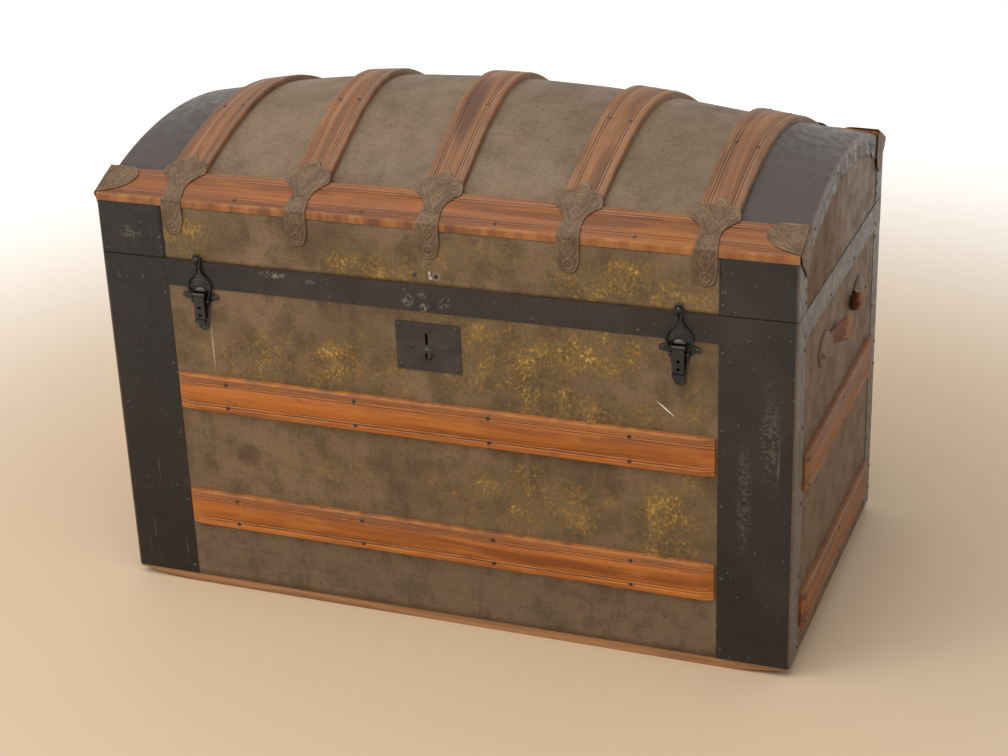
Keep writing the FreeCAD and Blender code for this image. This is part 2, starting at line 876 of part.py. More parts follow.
def latch_loop(x):
    """Pear shaped loop that hooks over the knob on the lid."""
    mid_y = -skin_y - loop_pin_out
    front = mid_y - leg_t / 2
    leg_in = lever_half + side_gap + lug_t + side_gap
    leg_out = leg_in + leg_t
    eye_r = knob_stem_r + eye_gap
    eye_out = eye_r + eye_wall
    low_z = loop_pin_z
    thick = V(0, leg_t, 0)
    outer = pear([leg_out, loop_belly, loop_neck], low_z - pin_r, knob_z, front).extrude(thick)
    inner = pear([leg_in, loop_belly - leg_t, loop_throat], low_z - leg_t, knob_z - eye_out, front)
    pieces = [outer, rod_y(eye_out, 0, front, front + leg_t, knob_z)]
    for side in (-1, 1):
        xs = sorted([side * leg_in, side * leg_out])
        pieces.append(rod_x(socket_r, xs[0], xs[1], mid_y, low_z))
    loop = fuse(pieces)
    loop = loop.cut(inner.extrude(thick))
    loop = loop.cut(rod_y(eye_r, 0, front - 1, front + leg_t + 1, knob_z))
    for side in (-1, 1):
        xs = sorted([side * (leg_in - 1), side * (leg_out + 1)])
        loop = loop.cut(rod_x(pin_r + run_gap, xs[0], xs[1], mid_y, low_z))
    loop.translate(V(x, 0, 0))
    return loop


def keeper(x):
    """Round plate with a headed knob."""
    back = -skin_y
    plate = rod_y(knob_up - seam_gap - 0.2, x, back - knob_plate_t, back, knob_z)
    head_y = back - loop_pin_out - leg_t / 2 - side_gap
    stem = rod_y(knob_stem_r, x, head_y, back, knob_z)
    head = Part.makeSphere(knob_head_r, V(x, head_y + knob_head_sink, knob_z))
    reach = 2 * knob_head_r
    front = box(x - reach, x + reach, head_y - reach, head_y, knob_z - reach, knob_z + reach)
    return fuse([plate, stem, head.common(front)])


def latches():
    """Two draw latches on the front."""
    pins = []
    keepers = []
    for hand, side in (("left", -1), ("right", 1)):
        x = side * latch_x
        put("latch_base_" + hand, [latch_base(x)])
        put("latch_lever_" + hand, [latch_lever(x)])
        put("latch_loop_" + hand, [latch_loop(x)])
        pins.append(latch_pin(x))
        keepers.append(keeper(x))
    put("latch_pins", pins)
    put("latch_keepers", keepers)


# ---- lock ----

def lock_holes(x, z, y0, y1):
    """Staple slot, keyhole and its bit slit."""
    slot = box(x - staple_half, x + staple_half, y0, y1, z + staple_up, z + staple_up + staple_h)
    hole = rod_y(keyhole_r, x, y0, y1, z)
    bit = box(x - key_bit_half, x + key_bit_half, y0, y1, z - key_bit_h, z)
    return fuse_all([slot, hole, bit])


def lock():
    """Face plate with staple slot and keyhole, and the case behind it."""
    back = -skin_y
    face = back - lock_plate_t
    half_x = lock_w / 2
    half_z = lock_h / 2
    plate = box(lock_x - half_x, lock_x + half_x, face, back, lock_z - half_z, lock_z + half_z)
    key_x = lock_x + keyhole_dx
    key_z = lock_z - keyhole_drop
    boss = Part.makeCone(key_boss_r, key_boss_top_r, key_boss_h, V(key_x, face, key_z), V(0, -1, 0))
    plate = fuse([plate, boss])
    plate = plate.cut(lock_holes(key_x, key_z, face - key_boss_h - 1, back + 1))
    put("lock_plate", [plate])
    half_x = lock_case_w / 2
    half_z = lock_case_h / 2
    case = box(lock_x - half_x, lock_x + half_x, back, back + lock_case_d,
               lock_z - half_z, lock_z + half_z)
    put("lock_case", [case.cut(lock_holes(key_x, key_z, back - 1, back + lock_case_d - board_t / 2))])


# ---- handles ----

def oval(a, b, h, y, z, base_x, side):
    """Upright oval boss standing off an end wall."""
    ellipse = Part.Ellipse(V(0, 0, 0), a, b)
    face = Part.Face(Part.Wire([ellipse.toShape()]))
    solid = face.extrude(V(0, 0, h))
    solid.rotate(V(0, 0, 0), V(0, 0, 1), 90)
    solid.rotate(V(0, 0, 0), V(0, 1, 0), side * 90)
    solid.translate(V(base_x, y, z))
    return solid


def handle_cap(side, y):
    """Hollow oval cap nailed over one end of the strap."""
    base = side * skin_x
    outer = oval(cap_a, cap_b, cap_h, y, handle_z, base, side)
    rim = [e for e in outer.Edges if abs(e.CenterOfMass.x - (base + side * cap_h)) < 0.1]
    outer = outer.makeFillet(cap_round, rim)
    deep = cap_h - cap_wall
    inner = oval(cap_a - cap_rim, cap_b - cap_rim, deep, y, handle_z, base, side)
    cap = outer.cut(inner)
    mouth_y = sorted([y, y - math.copysign(cap_a + 1, y)])
    xs = sorted([base, base + side * (strap_t + gate_gap)])
    gate = strap_w / 2 + gate_gap
    return cap.cut(box(xs[0], xs[1], mouth_y[0], mouth_y[1], handle_z - gate, handle_z + gate))


def strap_outline(half, out):
    """Outer then inner run of a bowed strap seen from above."""
    bend_y = half * strap_bend_y
    bend_x = out * strap_bend_x
    outer = [V(strap_t, -half, 0), V(bend_x, -bend_y, 0), V(out, 0, 0),
             V(bend_x, bend_y, 0), V(strap_t, half, 0)]
    inner = [V(0, half, 0), V(bend_x - strap_t, bend_y, 0), V(out - strap_t - 1, 0, 0),
             V(bend_x - strap_t, -bend_y, 0), V(0, -half, 0)]
    runs = []
    for points in (outer, inner):
        curve = Part.BSplineCurve()
        curve.interpolate(points)
        runs.append(curve.toShape())
    caps = [Part.makeLine(outer[-1], inner[0]), Part.makeLine(inner[-1], outer[0])]
    return Part.Wire([runs[0], caps[0], runs[1], caps[1]])


def leather_handle():
    """Bowed leather strap on the left end, its ends under the caps."""
    root = cap_y - cap_a - 1
    tip = cap_y - 2
    bow = Part.Face(strap_outline(root, handle_out)).extrude(V(0, 0, strap_w))
    bow.translate(V(0, 0, -strap_w / 2))
    pieces = [bow]
    for side in (-1, 1):
        ys = sorted([side * (root - 1), side * tip])
        pieces.append(box(0, strap_t, ys[0], ys[1], -strap_w / 2, strap_w / 2))
    strap = fuse(pieces)
    strap.rotate(V(0, 0, 0), V(0, 0, 1), 180)
    strap.translate(V(-skin_x, 0, handle_z))
    put("leather_handle", [strap])


def torn_strap(side, bend_y, tip_y):
    """Stump of strap that leans out from under a cap and ends ragged."""
    root = side * (cap_y - torn_hold)
    outline = [V(0, root, 0), V(0, side * bend_y, 0), V(torn_out - ragged, side * tip_y, 0),
               V(torn_out, side * (tip_y + ragged), 0), V(strap_t, side * (bend_y + torn_hold), 0),
               V(strap_t, root, 0)]
    strap = prism(outline, V(0, 0, torn_w))
    strap.translate(V(skin_x, 0, handle_z - torn_w / 2))
    return strap


def torn_handle():
    """What is left of the strap on the right end: a torn flap and a stub."""
    flap = torn_strap(-1, flap_bend_y, flap_tip_y)
    low = handle_z - torn_w
    tear = [V(skin_x, torn_hold - flap_bend_y, low), V(skin_x, torn_w - flap_tip_y, low),
            V(skin_x, torn_w - flap_tip_y, handle_z + torn_hold)]
    flap = flap.cut(prism(tear, V(torn_out + 1, 0, 0)))
    put("torn_handle", [flap, torn_strap(1, stub_bend_y, stub_tip_y)])


def handles():
    """Straps and the four like caps."""
    leather_handle()
    torn_handle()
    caps = []
    for side in (-1, 1):
        for y in (-cap_y, cap_y):
            caps.append(handle_cap(side, y))
    put("handle_caps", caps)


# ---- hinges and stay ----

def case_leaf(x):
    """Lower hinge leaf with the two outer knuckles."""
    y0 = skin_y + band_t
    half = hinge_w / 2
    clear = knuckle_r + knuckle_gap
    low = band_z + 2
    plate = box(x - half, x + half, y0, y0 + hinge_t, low, hinge_z - clear)
    pieces = [plate]
    for side in (-1, 1):
        xs = sorted([x + side * knuckle_half, x + side * half])
        pieces.append(box(xs[0], xs[1], y0, y0 + hinge_t, hinge_z - clear - 1, hinge_z - 1))
        pieces.append(rod_x(knuckle_r, xs[0], xs[1], hinge_y, hinge_z))
    leaf = fuse(pieces)
    return leaf.cut(rod_x(hinge_pin_r, x - half - 1, x + half + 1, hinge_y, hinge_z))


def lid_leaf(x):
    """Upper hinge leaf with the middle knuckle."""
    half = hinge_w / 2
    clear = knuckle_r + knuckle_gap
    inner = knuckle_half - side_gap
    plate = box(x - half, x + half, skin_y, skin_y + hinge_t, hinge_z + clear, hinge_z + hinge_leaf_h)
    tongue = box(x - inner, x + inner, skin_y, skin_y + hinge_t, lid_z, hinge_z + clear + 1)
    web = box(x - inner, x + inner, skin_y, hinge_y, lid_z, hinge_z + knuckle_r)
    knuckle = rod_x(knuckle_r, x - inner, x + inner, hinge_y, hinge_z)
    leaf = fuse([plate, tongue, web, knuckle])
    return leaf.cut(rod_x(hinge_pin_r + run_gap, x - half, x + half, hinge_y, hinge_z))


def hinges():
    """Two hinges on the back."""
    half = hinge_w / 2
    lower = []
    upper = []
    pins = []
    for side in (-1, 1):
        x = side * hinge_x
        lower.append(case_leaf(x))
        upper.append(lid_leaf(x))
        pins.append(rod_x(hinge_pin_r, x - half, x + half, hinge_y, hinge_z))
    put("hinge_case_leaves", lower)
    put("hinge_lid_leaves", upper)
    put("hinge_pins", pins)


def stay_points():
    """Pivots of the stay: on the case, on the lid and at the elbow."""
    a = math.radians(stay_case_deg)
    b = math.radians(stay_lid_deg)
    on_case = (hinge_y - stay_case_r * math.cos(a), hinge_z - stay_case_r * math.sin(a))
    on_lid = (hinge_y - stay_lid_r * math.cos(b), hinge_z + stay_lid_r * math.sin(b))
    elbow = (on_case[0] + on_lid[0] - hinge_y, on_case[1] + on_lid[1] - hinge_z)
    return on_case, on_lid, elbow


def link(start, end, x0, x1):
    """Flat bar with round ends between two pivots."""
    dy = end[0] - start[0]
    dz = end[1] - start[1]
    length = math.hypot(dy, dz)
    ny = -dz / length * link_w / 2
    nz = dy / length * link_w / 2
    points = [V(x0, start[0] + ny, start[1] + nz), V(x0, end[0] + ny, end[1] + nz),
              V(x0, end[0] - ny, end[1] - nz), V(x0, start[0] - ny, start[1] - nz)]
    pieces = [prism(points, V(x1 - x0, 0, 0))]
    for y, z in (start, end):
        pieces.append(rod_x(link_w / 2, x0, x1, y, z))
    return fuse(pieces)


def stud(point, x_head):
    """Wall plate, shank and head that carry one end of a link."""
    y, z = point
    plate = rod_x(stud_plate_r, wall_x - stud_plate_t, wall_x, y, z)
    shank = rod_x(stud_r, x_head, wall_x - stud_plate_t, y, z)
    head = rod_x(stud_r + stud_head_over, x_head - stud_head_t, x_head, y, z)
    return fuse([plate, shank, head])


def stay():
    """Folding stay inside the right end: two links, two studs, one elbow rivet."""
    on_case, on_lid, elbow = stay_points()
    low_x1 = wall_x - stud_plate_t - 0.5
    low_x0 = low_x1 - link_t
    up_x1 = low_x0 - link_gap
    up_x0 = up_x1 - link_t
    bore = stud_r + run_gap
    lower = link(on_case, elbow, low_x0, low_x1)
    for y, z in (on_case, elbow):
        lower = lower.cut(rod_x(bore, low_x0 - 1, low_x1 + 1, y, z))
    put("stay_lower", [lower])
    upper = link(on_lid, elbow, up_x0, up_x1)
    upper = upper.cut(rod_x(bore, up_x0 - 1, up_x1 + 1, on_lid[0], on_lid[1]))
    head_x = low_x1 + link_gap
    shank = rod_x(stud_r, up_x1 - link_t / 2, head_x, elbow[0], elbow[1])
    head = rod_x(stud_r + elbow_head_over, head_x, head_x + elbow_head_t, elbow[0], elbow[1])
    put("stay_upper", [fuse([upper, shank, head])])
    put("stay_case_stud", [stud(on_case, low_x0 - link_gap)])
    put("stay_lid_stud", [stud(on_lid, up_x0 - link_gap)])


# ---- nails ----

def wall_nails(xs, zs, normal, off):
    """Nail heads on a front or back plane, off from the canvas."""
    y = normal * (skin_y + off)
    return [nail(V(x, y, z), V(0, normal, 0)) for x in xs for z in zs]


def end_nails(ys, zs, normal, off):
    """Nail heads on an end plane, off from the canvas."""
    x = normal * (skin_x + off)
    return [nail(V(x, y, z), V(normal, 0, 0)) for y in ys for z in zs]


def case_nails():
    """Nails of the strips, corners, band, lock, latches and caps."""
    heads = []
    far = half_w - band_nail_in
    edge_x = sheet_x - corner_w + nail_in
    edge_y = sheet_y - corner_wrap + nail_in
    corner_z = spread(case_z + row_nail_in, band_z - row_nail_in, 5)
    long_x = [x + slat_nail_stray for x in spread(-slat_nail_far, slat_nail_far, 4)]
    short_y = spread(row_nail_in - edge_y, edge_y - row_nail_in, 3)
    for normal in (-1, 1):
        for z in front_levels:
            rows = (z + strip_nail_in, z + slat_w - strip_nail_in)
            heads += wall_nails(long_x, rows, normal, slat_t)
        for z in end_levels:
            rows = (z + strip_nail_in, z + slat_w - strip_nail_in)
            heads += end_nails(short_y, rows, normal, slat_t)
        heads += wall_nails((-edge_x, edge_x), corner_z, normal, sheet_t)
        heads += end_nails((-edge_y, edge_y), corner_z, normal, sheet_t)
        heads += end_nails(spread(-edge_y, edge_y, 4), (band_z + band_nail_up,), normal, band_t)
        heads += wall_nails(spread(-far, far, 7), (band_z + band_nail_up,), normal, band_t)
    heads += wall_nails([lock_x + dx for dx in hasp_nails], (seam_z - band_h / 2,), -1, band_t)
    for side in (-1, 1):
        x = side * latch_x
        heads += wall_nails((x - ear_out, x + ear_out), (pivot_z - ear_drop,), -1, lock_plate_t)
        heads += wall_nails((x,), (pivot_z - tab_drop,), -1, lock_plate_t)
        leaf_x = (side * hinge_x - hinge_nail_x, side * hinge_x + hinge_nail_x)
        leaf_z = (band_z + band_h / 4, band_z + band_h * 0.6)
        heads += wall_nails(leaf_x, leaf_z, 1, band_t + hinge_t)
        cap_nail = cap_y + cap_a - cap_rim - nail_r
        heads += end_nails((-cap_nail, cap_nail), (handle_z,), side, cap_h)
    half_x = lock_w / 2 - nail_in
    half_z = lock_h / 2 - nail_in
    heads += wall_nails((lock_x - half_x, lock_x + half_x), (lock_z - half_z, lock_z + half_z),
                        -1, lock_plate_t)
    heads += wall_nails((lock_x - lock_rivet_out, lock_x + lock_rivet_out), (lock_z,), -1, lock_plate_t)
    put("case_nails", heads)


def lid_nails():
    """Nails of the dome strips, rails, end metal, hinges and lost hasp."""
    heads = []
    for number in range(5):
        for y in (-strip_nail_y, strip_nail_y):
            for u in (-strip_nail_u, strip_nail_u):
                heads.append(dome_nail(slat_x(number, y) + u, y, top_off))
    pitch = (half_w - dome_slat_in) / 2
    low = arch_radius() - end_wrap * slit_share
    gap = pleat_turns(pleats, 0)[1] - pleat_turns(pleats, 0)[0]
    edge_x = sheet_x - corner_w + nail_in
    edge_y = sheet_y - corner_wrap + nail_in
    rows = (lid_z + lid_low_nail, lid_z + lid_high_nail)
    for side in (-1, 1):
        for bay in (-1.5, -0.5, 0.5, 1.5):
            heads.append(dome_nail(pitch * bay, side * (rail_y - nose - nail_in), top_off))
        for turn in pleat_turns(pleats - 1, gap / 2):
            angle = math.radians(turn)
            spot = V(side * sheet_x, low * math.sin(angle), arch_centre() + low * math.cos(angle))
            heads.append(nail(spot, V(side, 0, 0), tack_r, tack_h))
        heads += wall_nails((-edge_x, edge_x), rows, side, sheet_t)
        heads += end_nails((-edge_y, edge_y), rows, side, sheet_t)
        leaf_x = (side * hinge_x - hinge_nail_x, side * hinge_x + hinge_nail_x)
        leaf_z = (hinge_z + hinge_leaf_h * 0.4, hinge_z + hinge_leaf_h * 0.8)
        heads += wall_nails(leaf_x, leaf_z, 1, hinge_t)
    heads += wall_nails([lock_x + dx for dx in hasp_marks], (lid_z + lid_low_nail,), -1, 0)
    put("lid_nails", heads)


case_boards()
case_cover()
corner_sheets()
case_slats()
battens()
lid_boards()
lid_covers()
dome_slats()
rails()
clamps()
rail_brackets()
latches()
lock()
handles()
hinges()
stay()
case_nails()
lid_nails()
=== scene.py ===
import bpy
import bmesh
import json
import math
from mathutils import Euler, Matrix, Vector, noise


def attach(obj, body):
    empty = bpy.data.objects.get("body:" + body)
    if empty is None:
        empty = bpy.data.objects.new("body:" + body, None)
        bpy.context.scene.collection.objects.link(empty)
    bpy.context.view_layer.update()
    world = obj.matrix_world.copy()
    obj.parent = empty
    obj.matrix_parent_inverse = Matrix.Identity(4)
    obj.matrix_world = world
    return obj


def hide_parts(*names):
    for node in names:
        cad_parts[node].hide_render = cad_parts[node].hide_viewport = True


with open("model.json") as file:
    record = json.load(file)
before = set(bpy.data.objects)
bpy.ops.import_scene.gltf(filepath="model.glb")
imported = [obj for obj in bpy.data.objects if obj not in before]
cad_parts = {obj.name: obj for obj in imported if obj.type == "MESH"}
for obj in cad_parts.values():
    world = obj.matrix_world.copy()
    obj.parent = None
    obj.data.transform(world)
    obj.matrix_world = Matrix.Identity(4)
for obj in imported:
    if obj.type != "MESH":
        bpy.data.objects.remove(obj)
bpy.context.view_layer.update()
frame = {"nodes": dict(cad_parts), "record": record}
print("frame loaded:", len(frame["nodes"]), "nodes")

trunk = {
    "halfWidth": 0.455,      # outside of the boards
    "halfDepth": 0.242,
    "floorGap": 0.013,       # height of the skids
    "seam": 0.470,
    "lidGap": 0.0008,
    "spring": 0.541,         # where the dome starts
    "endRise": 0.062,
    "midRise": 0.120,
    "canvas": 0.001,
    "sheet": 0.0008,
    "strip": 0.008,
    "railY": 0.244,          # outer and inner edge of the rails
    "railInner": 0.199,
    "slopeStep": 0.001,
}
skinX = trunk["halfWidth"] + trunk["canvas"]
skinY = trunk["halfDepth"] + trunk["canvas"]
sheetX = skinX + trunk["sheet"]
sheetY = skinY + trunk["sheet"]
stripTop = trunk["canvas"] + trunk["strip"]
lidFoot = trunk["seam"] + trunk["lidGap"]
lidWall = trunk["spring"] - lidFoot
archRadius = (trunk["halfDepth"] ** 2 + trunk["endRise"] ** 2) / (2 * trunk["endRise"])
archCentre = trunk["spring"] + trunk["endRise"] - archRadius


def boardHeight(x, y):
    swell = (trunk["midRise"] - trunk["endRise"]) * (1 - (x / trunk["halfWidth"]) ** 2)
    arch = archCentre + math.sqrt(archRadius ** 2 - y ** 2)
    return arch + swell * (1 + math.cos(math.pi * y / trunk["halfDepth"])) / 2


def boardSlope(x, y):
    step = trunk["slopeStep"]
    return (boardHeight(x, y + step / 2) - boardHeight(x, y - step / 2)) / step


def onDome(x, y, off):
    foot = y                 # the foot point on the boards moves until its lifted point is above y
    for turn in range(5):
        slope = boardSlope(x, foot)
        foot += y - (foot - off * slope / math.hypot(1, slope))
    return Vector((x, y, boardHeight(x, foot) + off / math.hypot(1, boardSlope(x, foot))))


def limit(value):
    return max(0.0, min(1.0, value))


def bell(value):
    return math.exp(-value * value)


def blend(low, high, value):
    share = limit((value - low) / (high - low))
    return share * share * (3 - 2 * share)


def addMesh(name, bm, material, body, nodes, smooth=40, shell=None, turned=False):
    if not shell and not turned:     # open sheets are turned the right way before they come here
        bm.normal_update()
        bmesh.ops.recalc_face_normals(bm, faces=bm.faces)
    mesh = bpy.data.meshes.new(name)
    bm.to_mesh(mesh)
    bm.free()
    piece = bpy.data.objects.new(name, mesh)
    bpy.context.scene.collection.objects.link(piece)
    mesh.materials.append(material)
    mesh.polygons.foreach_set("use_smooth", [True] * len(mesh.polygons))
    mesh.set_sharp_from_angle(angle=math.radians(smooth))
    if shell:
        modifier = piece.modifiers.new("solidify", "SOLIDIFY")
        modifier.thickness = shell
        modifier.offset = -1
    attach(piece, body)
    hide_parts(*nodes)


class Field:                         # what one output of a shader node gives
    def __init__(self, socket):
        self.socket = socket
        self.tree = socket.id_data

    def math(self, operation, *others):
        return addNode(self.tree, "Math", dict(enumerate((self, *others))), operation=operation)

    def __add__(self, other):
        return self.math("ADD", other)

    def __sub__(self, other):
        return self.math("SUBTRACT", other)

    def __rsub__(self, other):
        return addNode(self.tree, "Math", {0: other, 1: self}, operation="SUBTRACT")

    def __mul__(self, other):
        return self.math("MULTIPLY", other)

    def __truediv__(self, other):
        return self.math("DIVIDE", other)

    def __abs__(self):
        return self.math("ABSOLUTE")

    def most(self, other):
        return self.math("MAXIMUM", other)

    def ramp(self, low, high, to=(0.0, 1.0), smooth=True):
        values = {"Value": self, "From Min": low, "From Max": high, "To Min": to[0], "To Max": to[1]}
        kind = "SMOOTHSTEP" if smooth else "LINEAR"
        return addNode(self.tree, "MapRange", values, interpolation_type=kind)

    def mapped(self, scale, place=(0, 0, 0), turn=(0, 0, 0)):
        values = {"Vector": self, "Scale": scale, "Location": place, "Rotation": turn}
        return addNode(self.tree, "Mapping", values)

    def noise(self, scale, detail=4, rough=0.55, distortion=0.0):
        values = {"Vector": self, "Scale": scale, "Detail": detail, "Roughness": rough,
                  "Distortion": distortion}
        return addNode(self.tree, "TexNoise", values, "Fac")

    def bump(self, strength, distance, under=None):
        values = {"Height": self, "Strength": strength, "Distance": distance}
        if under is not None:
            values["Normal"] = under
        return addNode(self.tree, "Bump", values)

    def split(self):
        node = self.tree.nodes.new("ShaderNodeSeparateXYZ")
        setInputs(node, {0: self})
        return [Field(socket) for socket in node.outputs]


def setInputs(node, values):
    # a field is linked to its input, and a number or colour is set on it
    for key, value in values.items():
        socket = node.inputs[key]
        if isinstance(value, Field):
            node.id_data.links.new(value.socket, socket)
        else:
            socket.default_value = (*value[:3], 1) if socket.type == "RGBA" else value


def addNode(tree, kind, values, output=0, **settings):
    node = tree.nodes.new("ShaderNode" + kind)
    for key, value in settings.items():
        setattr(node, key, value)
    setInputs(node, values)
    return Field(node.outputs[output])


def mix(share, first, second, blendType="MIX"):
    tree = next(value.tree for value in (share, first, second) if isinstance(value, Field))
    values = {0: share, 6: first, 7: second}
    return addNode(tree, "Mix", values, 2, data_type="RGBA", blend_type=blendType)


def largest(fields):
    result = fields[0]
    for field in fields[1:]:
        result = result.most(field)
    return result


def spotMask(first, second, place):
    middleFirst, middleSecond, halfWidth, halfHeight, strength = place
    across = (first - middleFirst) / halfWidth
    upward = (second - middleSecond) / halfHeight
    return (across * across + upward * upward).ramp(1.7, 0.1, (0, strength))


def objectPoint(tree):
    return addNode(tree, "TexCoord", {}, "Object")


def keptValue(tree, name):
    return addNode(tree, "Attribute", {}, "Fac", attribute_name=name)


def srgb(red, green, blue):
    shares = [value / 255 for value in (red, green, blue)]
    return tuple(v / 12.92 if v <= 0.04045 else ((v + 0.055) / 1.055) ** 2.4 for v in shares)


def newMaterial(name, rough, metallic=0.0, specular=0.5):
    material = bpy.data.materials.new(name)
    material.use_nodes = True
    shader = material.node_tree.nodes["Principled BSDF"]
    setInputs(shader, {"Roughness": rough, "Metallic": metallic, "Specular IOR Level": specular})
    return material, material.node_tree, shader


def makeGrainGroup():
    group = bpy.data.node_groups.new("woodGrain", "ShaderNodeTree")
    group.interface.new_socket(name="Vector", in_out="INPUT", socket_type="NodeSocketVector")
    for label in ("Figure", "Fibre", "Pores"):
        group.interface.new_socket(name=label, in_out="OUTPUT", socket_type="NodeSocketFloat")
    # the first coordinate runs along the board
    vector = Field(group.nodes.new("NodeGroupInput").outputs[0])
    push = addNode(group, "CombineXYZ", {"Y": vector.mapped((3, 18, 18)).noise(1.0, 2) * 2.6})
    bent = addNode(group, "VectorMath", {0: vector.mapped((2.2, 95, 95)), 1: push}, operation="ADD")
    setInputs(group.nodes.new("NodeGroupOutput"), {
        "Figure": bent.noise(1.0, 3, 0.6, 0.4).ramp(0.34, 0.66),
        "Fibre": vector.mapped((14, 900, 900)).noise(1.0, 3, 0.6),
        "Pores": vector.mapped((70, 1500, 1500)).noise(1.0, 1, 0.4).ramp(0.60, 0.72)})
    return group


grainGroup = makeGrainGroup()


def woodGrain(place):
    node = place.tree.nodes.new("ShaderNodeGroup")
    node.node_tree = grainGroup
    setInputs(node, {"Vector": place})
    return [Field(socket) for socket in node.outputs]


moulding = {
    "width": 0.050,
    "thick": trunk["strip"],
    "nose": 0.0026,
    "grooves": (0.0160, 0.0125),   # from the middle line
    "grooveWidth": 0.0013,
    "grooveDepth": 0.0008,
    # one groove: how far each point lies from its middle in half widths, and its share of the depth
    "groove": ((-1.5, 0), (-0.9, 0.25), (-0.4, 1), (0.4, 1), (0.9, 0.25), (1.5, 0)),
    "step": 0.006,                 # length of one piece of the run
    "endCut": 0.014,               # the ends of wall strips are whittled down over this length
    "chip": 0.00025,
    "chippedFrom": 0.023,
    "grainShift": 3.7,
}
oakLook = {"bare": 0.4, "bead": 0.5, "grime": 0.5, "edge": 0.4, "rough": 0.5, "stained": None}


def makeOak(name, **changes):
    look = {**oakLook, **changes}
    material, tree, shader = newMaterial(name, look["rough"], specular=0.35)
    place = addNode(tree, "UVMap", {}, uv_map="grain")
    figure, fibre, pores = woodGrain(place)
    upward = place.split()[1]
    across = abs(upward)
    patch = place.mapped((9, 30, 1)).noise(1.0, 3, 0.6)
    base = mix(figure, look["dark"], look["light"])
    base = mix(patch.ramp(0.50, 0.68, (0, look["bare"])), base, look["worn"])
    bead = upward.ramp(0.0125, 0.0160, (0, look["bead"])) * patch.ramp(0.30, 0.62, (1.0, 0.45))
    base = mix(bead, base, look["dusty"])
    stain = place.mapped((26, 70, 1), (3.1, 0, 0)).noise(1.0, 4, 0.7)
    base = mix(stain.ramp(0.58, 0.74, (0, look["grime"])), base, look["dirt"])
    base = mix(pores * 0.30, base, look["dirt"])
    tone = fibre.ramp(0.3, 0.7, (0.84, 1.10), False)
    base = mix(1.0, base, addNode(tree, "CombineColor", {0: tone, 1: tone, 2: tone}), "MULTIPLY")
    # each groove is drawn as a darker line, and a painted highlight runs along its lips
    for shift, width, strength, colour in ((0.0, 0.0009, 0.75, "groove"), (0.0013, 0.0008, 0.45, "lip")):
        lines = largest([abs(across - (middle + shift)).ramp(width * 0.3, width, (strength, 0.0))
                         for middle in moulding["grooves"]])
        base = mix(lines * place.mapped((30, 200, 1)).noise(1.0, 3).ramp(0.30, 0.60), base, look[colour])
    edge = across.ramp(0.0215, 0.0240) * place.mapped((40, 160, 1)).noise(1.0, 3).ramp(0.40, 0.62)
    base = mix(edge * look["edge"], base, look["worn"])
    if look["stained"]:                     # an old dark stain across one strip
        x, y, z = objectPoint(tree).split()
        base = mix(spotMask(x, y, look["stained"]) * patch.ramp(0.2, 0.5), base, look["dirt"])
    setInputs(shader, {
        "Base Color": base,
        "Roughness": patch.ramp(0.45, 0.7, (look["rough"], look["rough"] + 0.22)),
        "Normal": (fibre * 0.6 - pores * 0.4).bump(0.40, 0.0007)})
    return material


# the lip colour of each oak below is a painted highlight along the groove lips
frontOak = makeOak(
    "frontOak", dark=srgb(128, 68, 22), light=srgb(180, 102, 32), worn=srgb(186, 116, 48),
    dusty=srgb(122, 84, 58), dirt=srgb(84, 46, 26), groove=srgb(92, 46, 24), lip=srgb(206, 140, 78),
    bead=0.85, edge=0.5, rough=0.42)
railOak = makeOak(
    "railOak", dark=srgb(102, 56, 24), light=srgb(140, 82, 36), worn=srgb(164, 106, 50),
    dusty=srgb(112, 74, 50), dirt=srgb(76, 46, 30), groove=srgb(74, 42, 28), lip=srgb(172, 118, 80),
    edge=0.7, rough=0.46)
sideOak = makeOak(
    "sideOak", dark=srgb(104, 58, 28), light=srgb(138, 82, 40), worn=srgb(152, 100, 54),
    dusty=srgb(118, 86, 64), dirt=srgb(72, 46, 32), groove=srgb(72, 42, 28), lip=srgb(158, 112, 80))
domeOak = makeOak(
    "domeOak", dark=srgb(104, 66, 40), light=srgb(136, 92, 58), worn=srgb(150, 110, 76),
    dusty=srgb(124, 96, 78), dirt=srgb(72, 48, 36), groove=srgb(74, 48, 36), lip=srgb(156, 120, 96),
    bare=0.5, bead=0.4, stained=(0.001, -0.075, 0.012, 0.065, 0.8))


def setUv(bm, name, place, faces=None):
    layer = bm.loops.layers.uv.get(name) or bm.loops.layers.uv.new(name)
    for face in faces or bm.faces:
        for corner in face.loops:
            corner[layer].uv = place(corner.vert.co)


def mouldingOutline():
    half = moulding["width"] / 2
    top = moulding["thick"]
    nose = moulding["nose"]
    points = [(-half, 0.0), (-half, top - nose)]
    for turn in (30, 60, 90):
        angle = math.radians(turn)
        points.append((-half + nose - nose * math.cos(angle), top - nose + nose * math.sin(angle)))
    for side in (-1, 1):
        for middle in moulding["grooves"][::-side]:
            for shift, depth in moulding["groove"]:
                points.append((side * middle + shift * moulding["grooveWidth"] / 2,
                               top - depth * moulding["grooveDepth"]))
    return points + [(-u, h) for u, h in reversed(points[:5])]


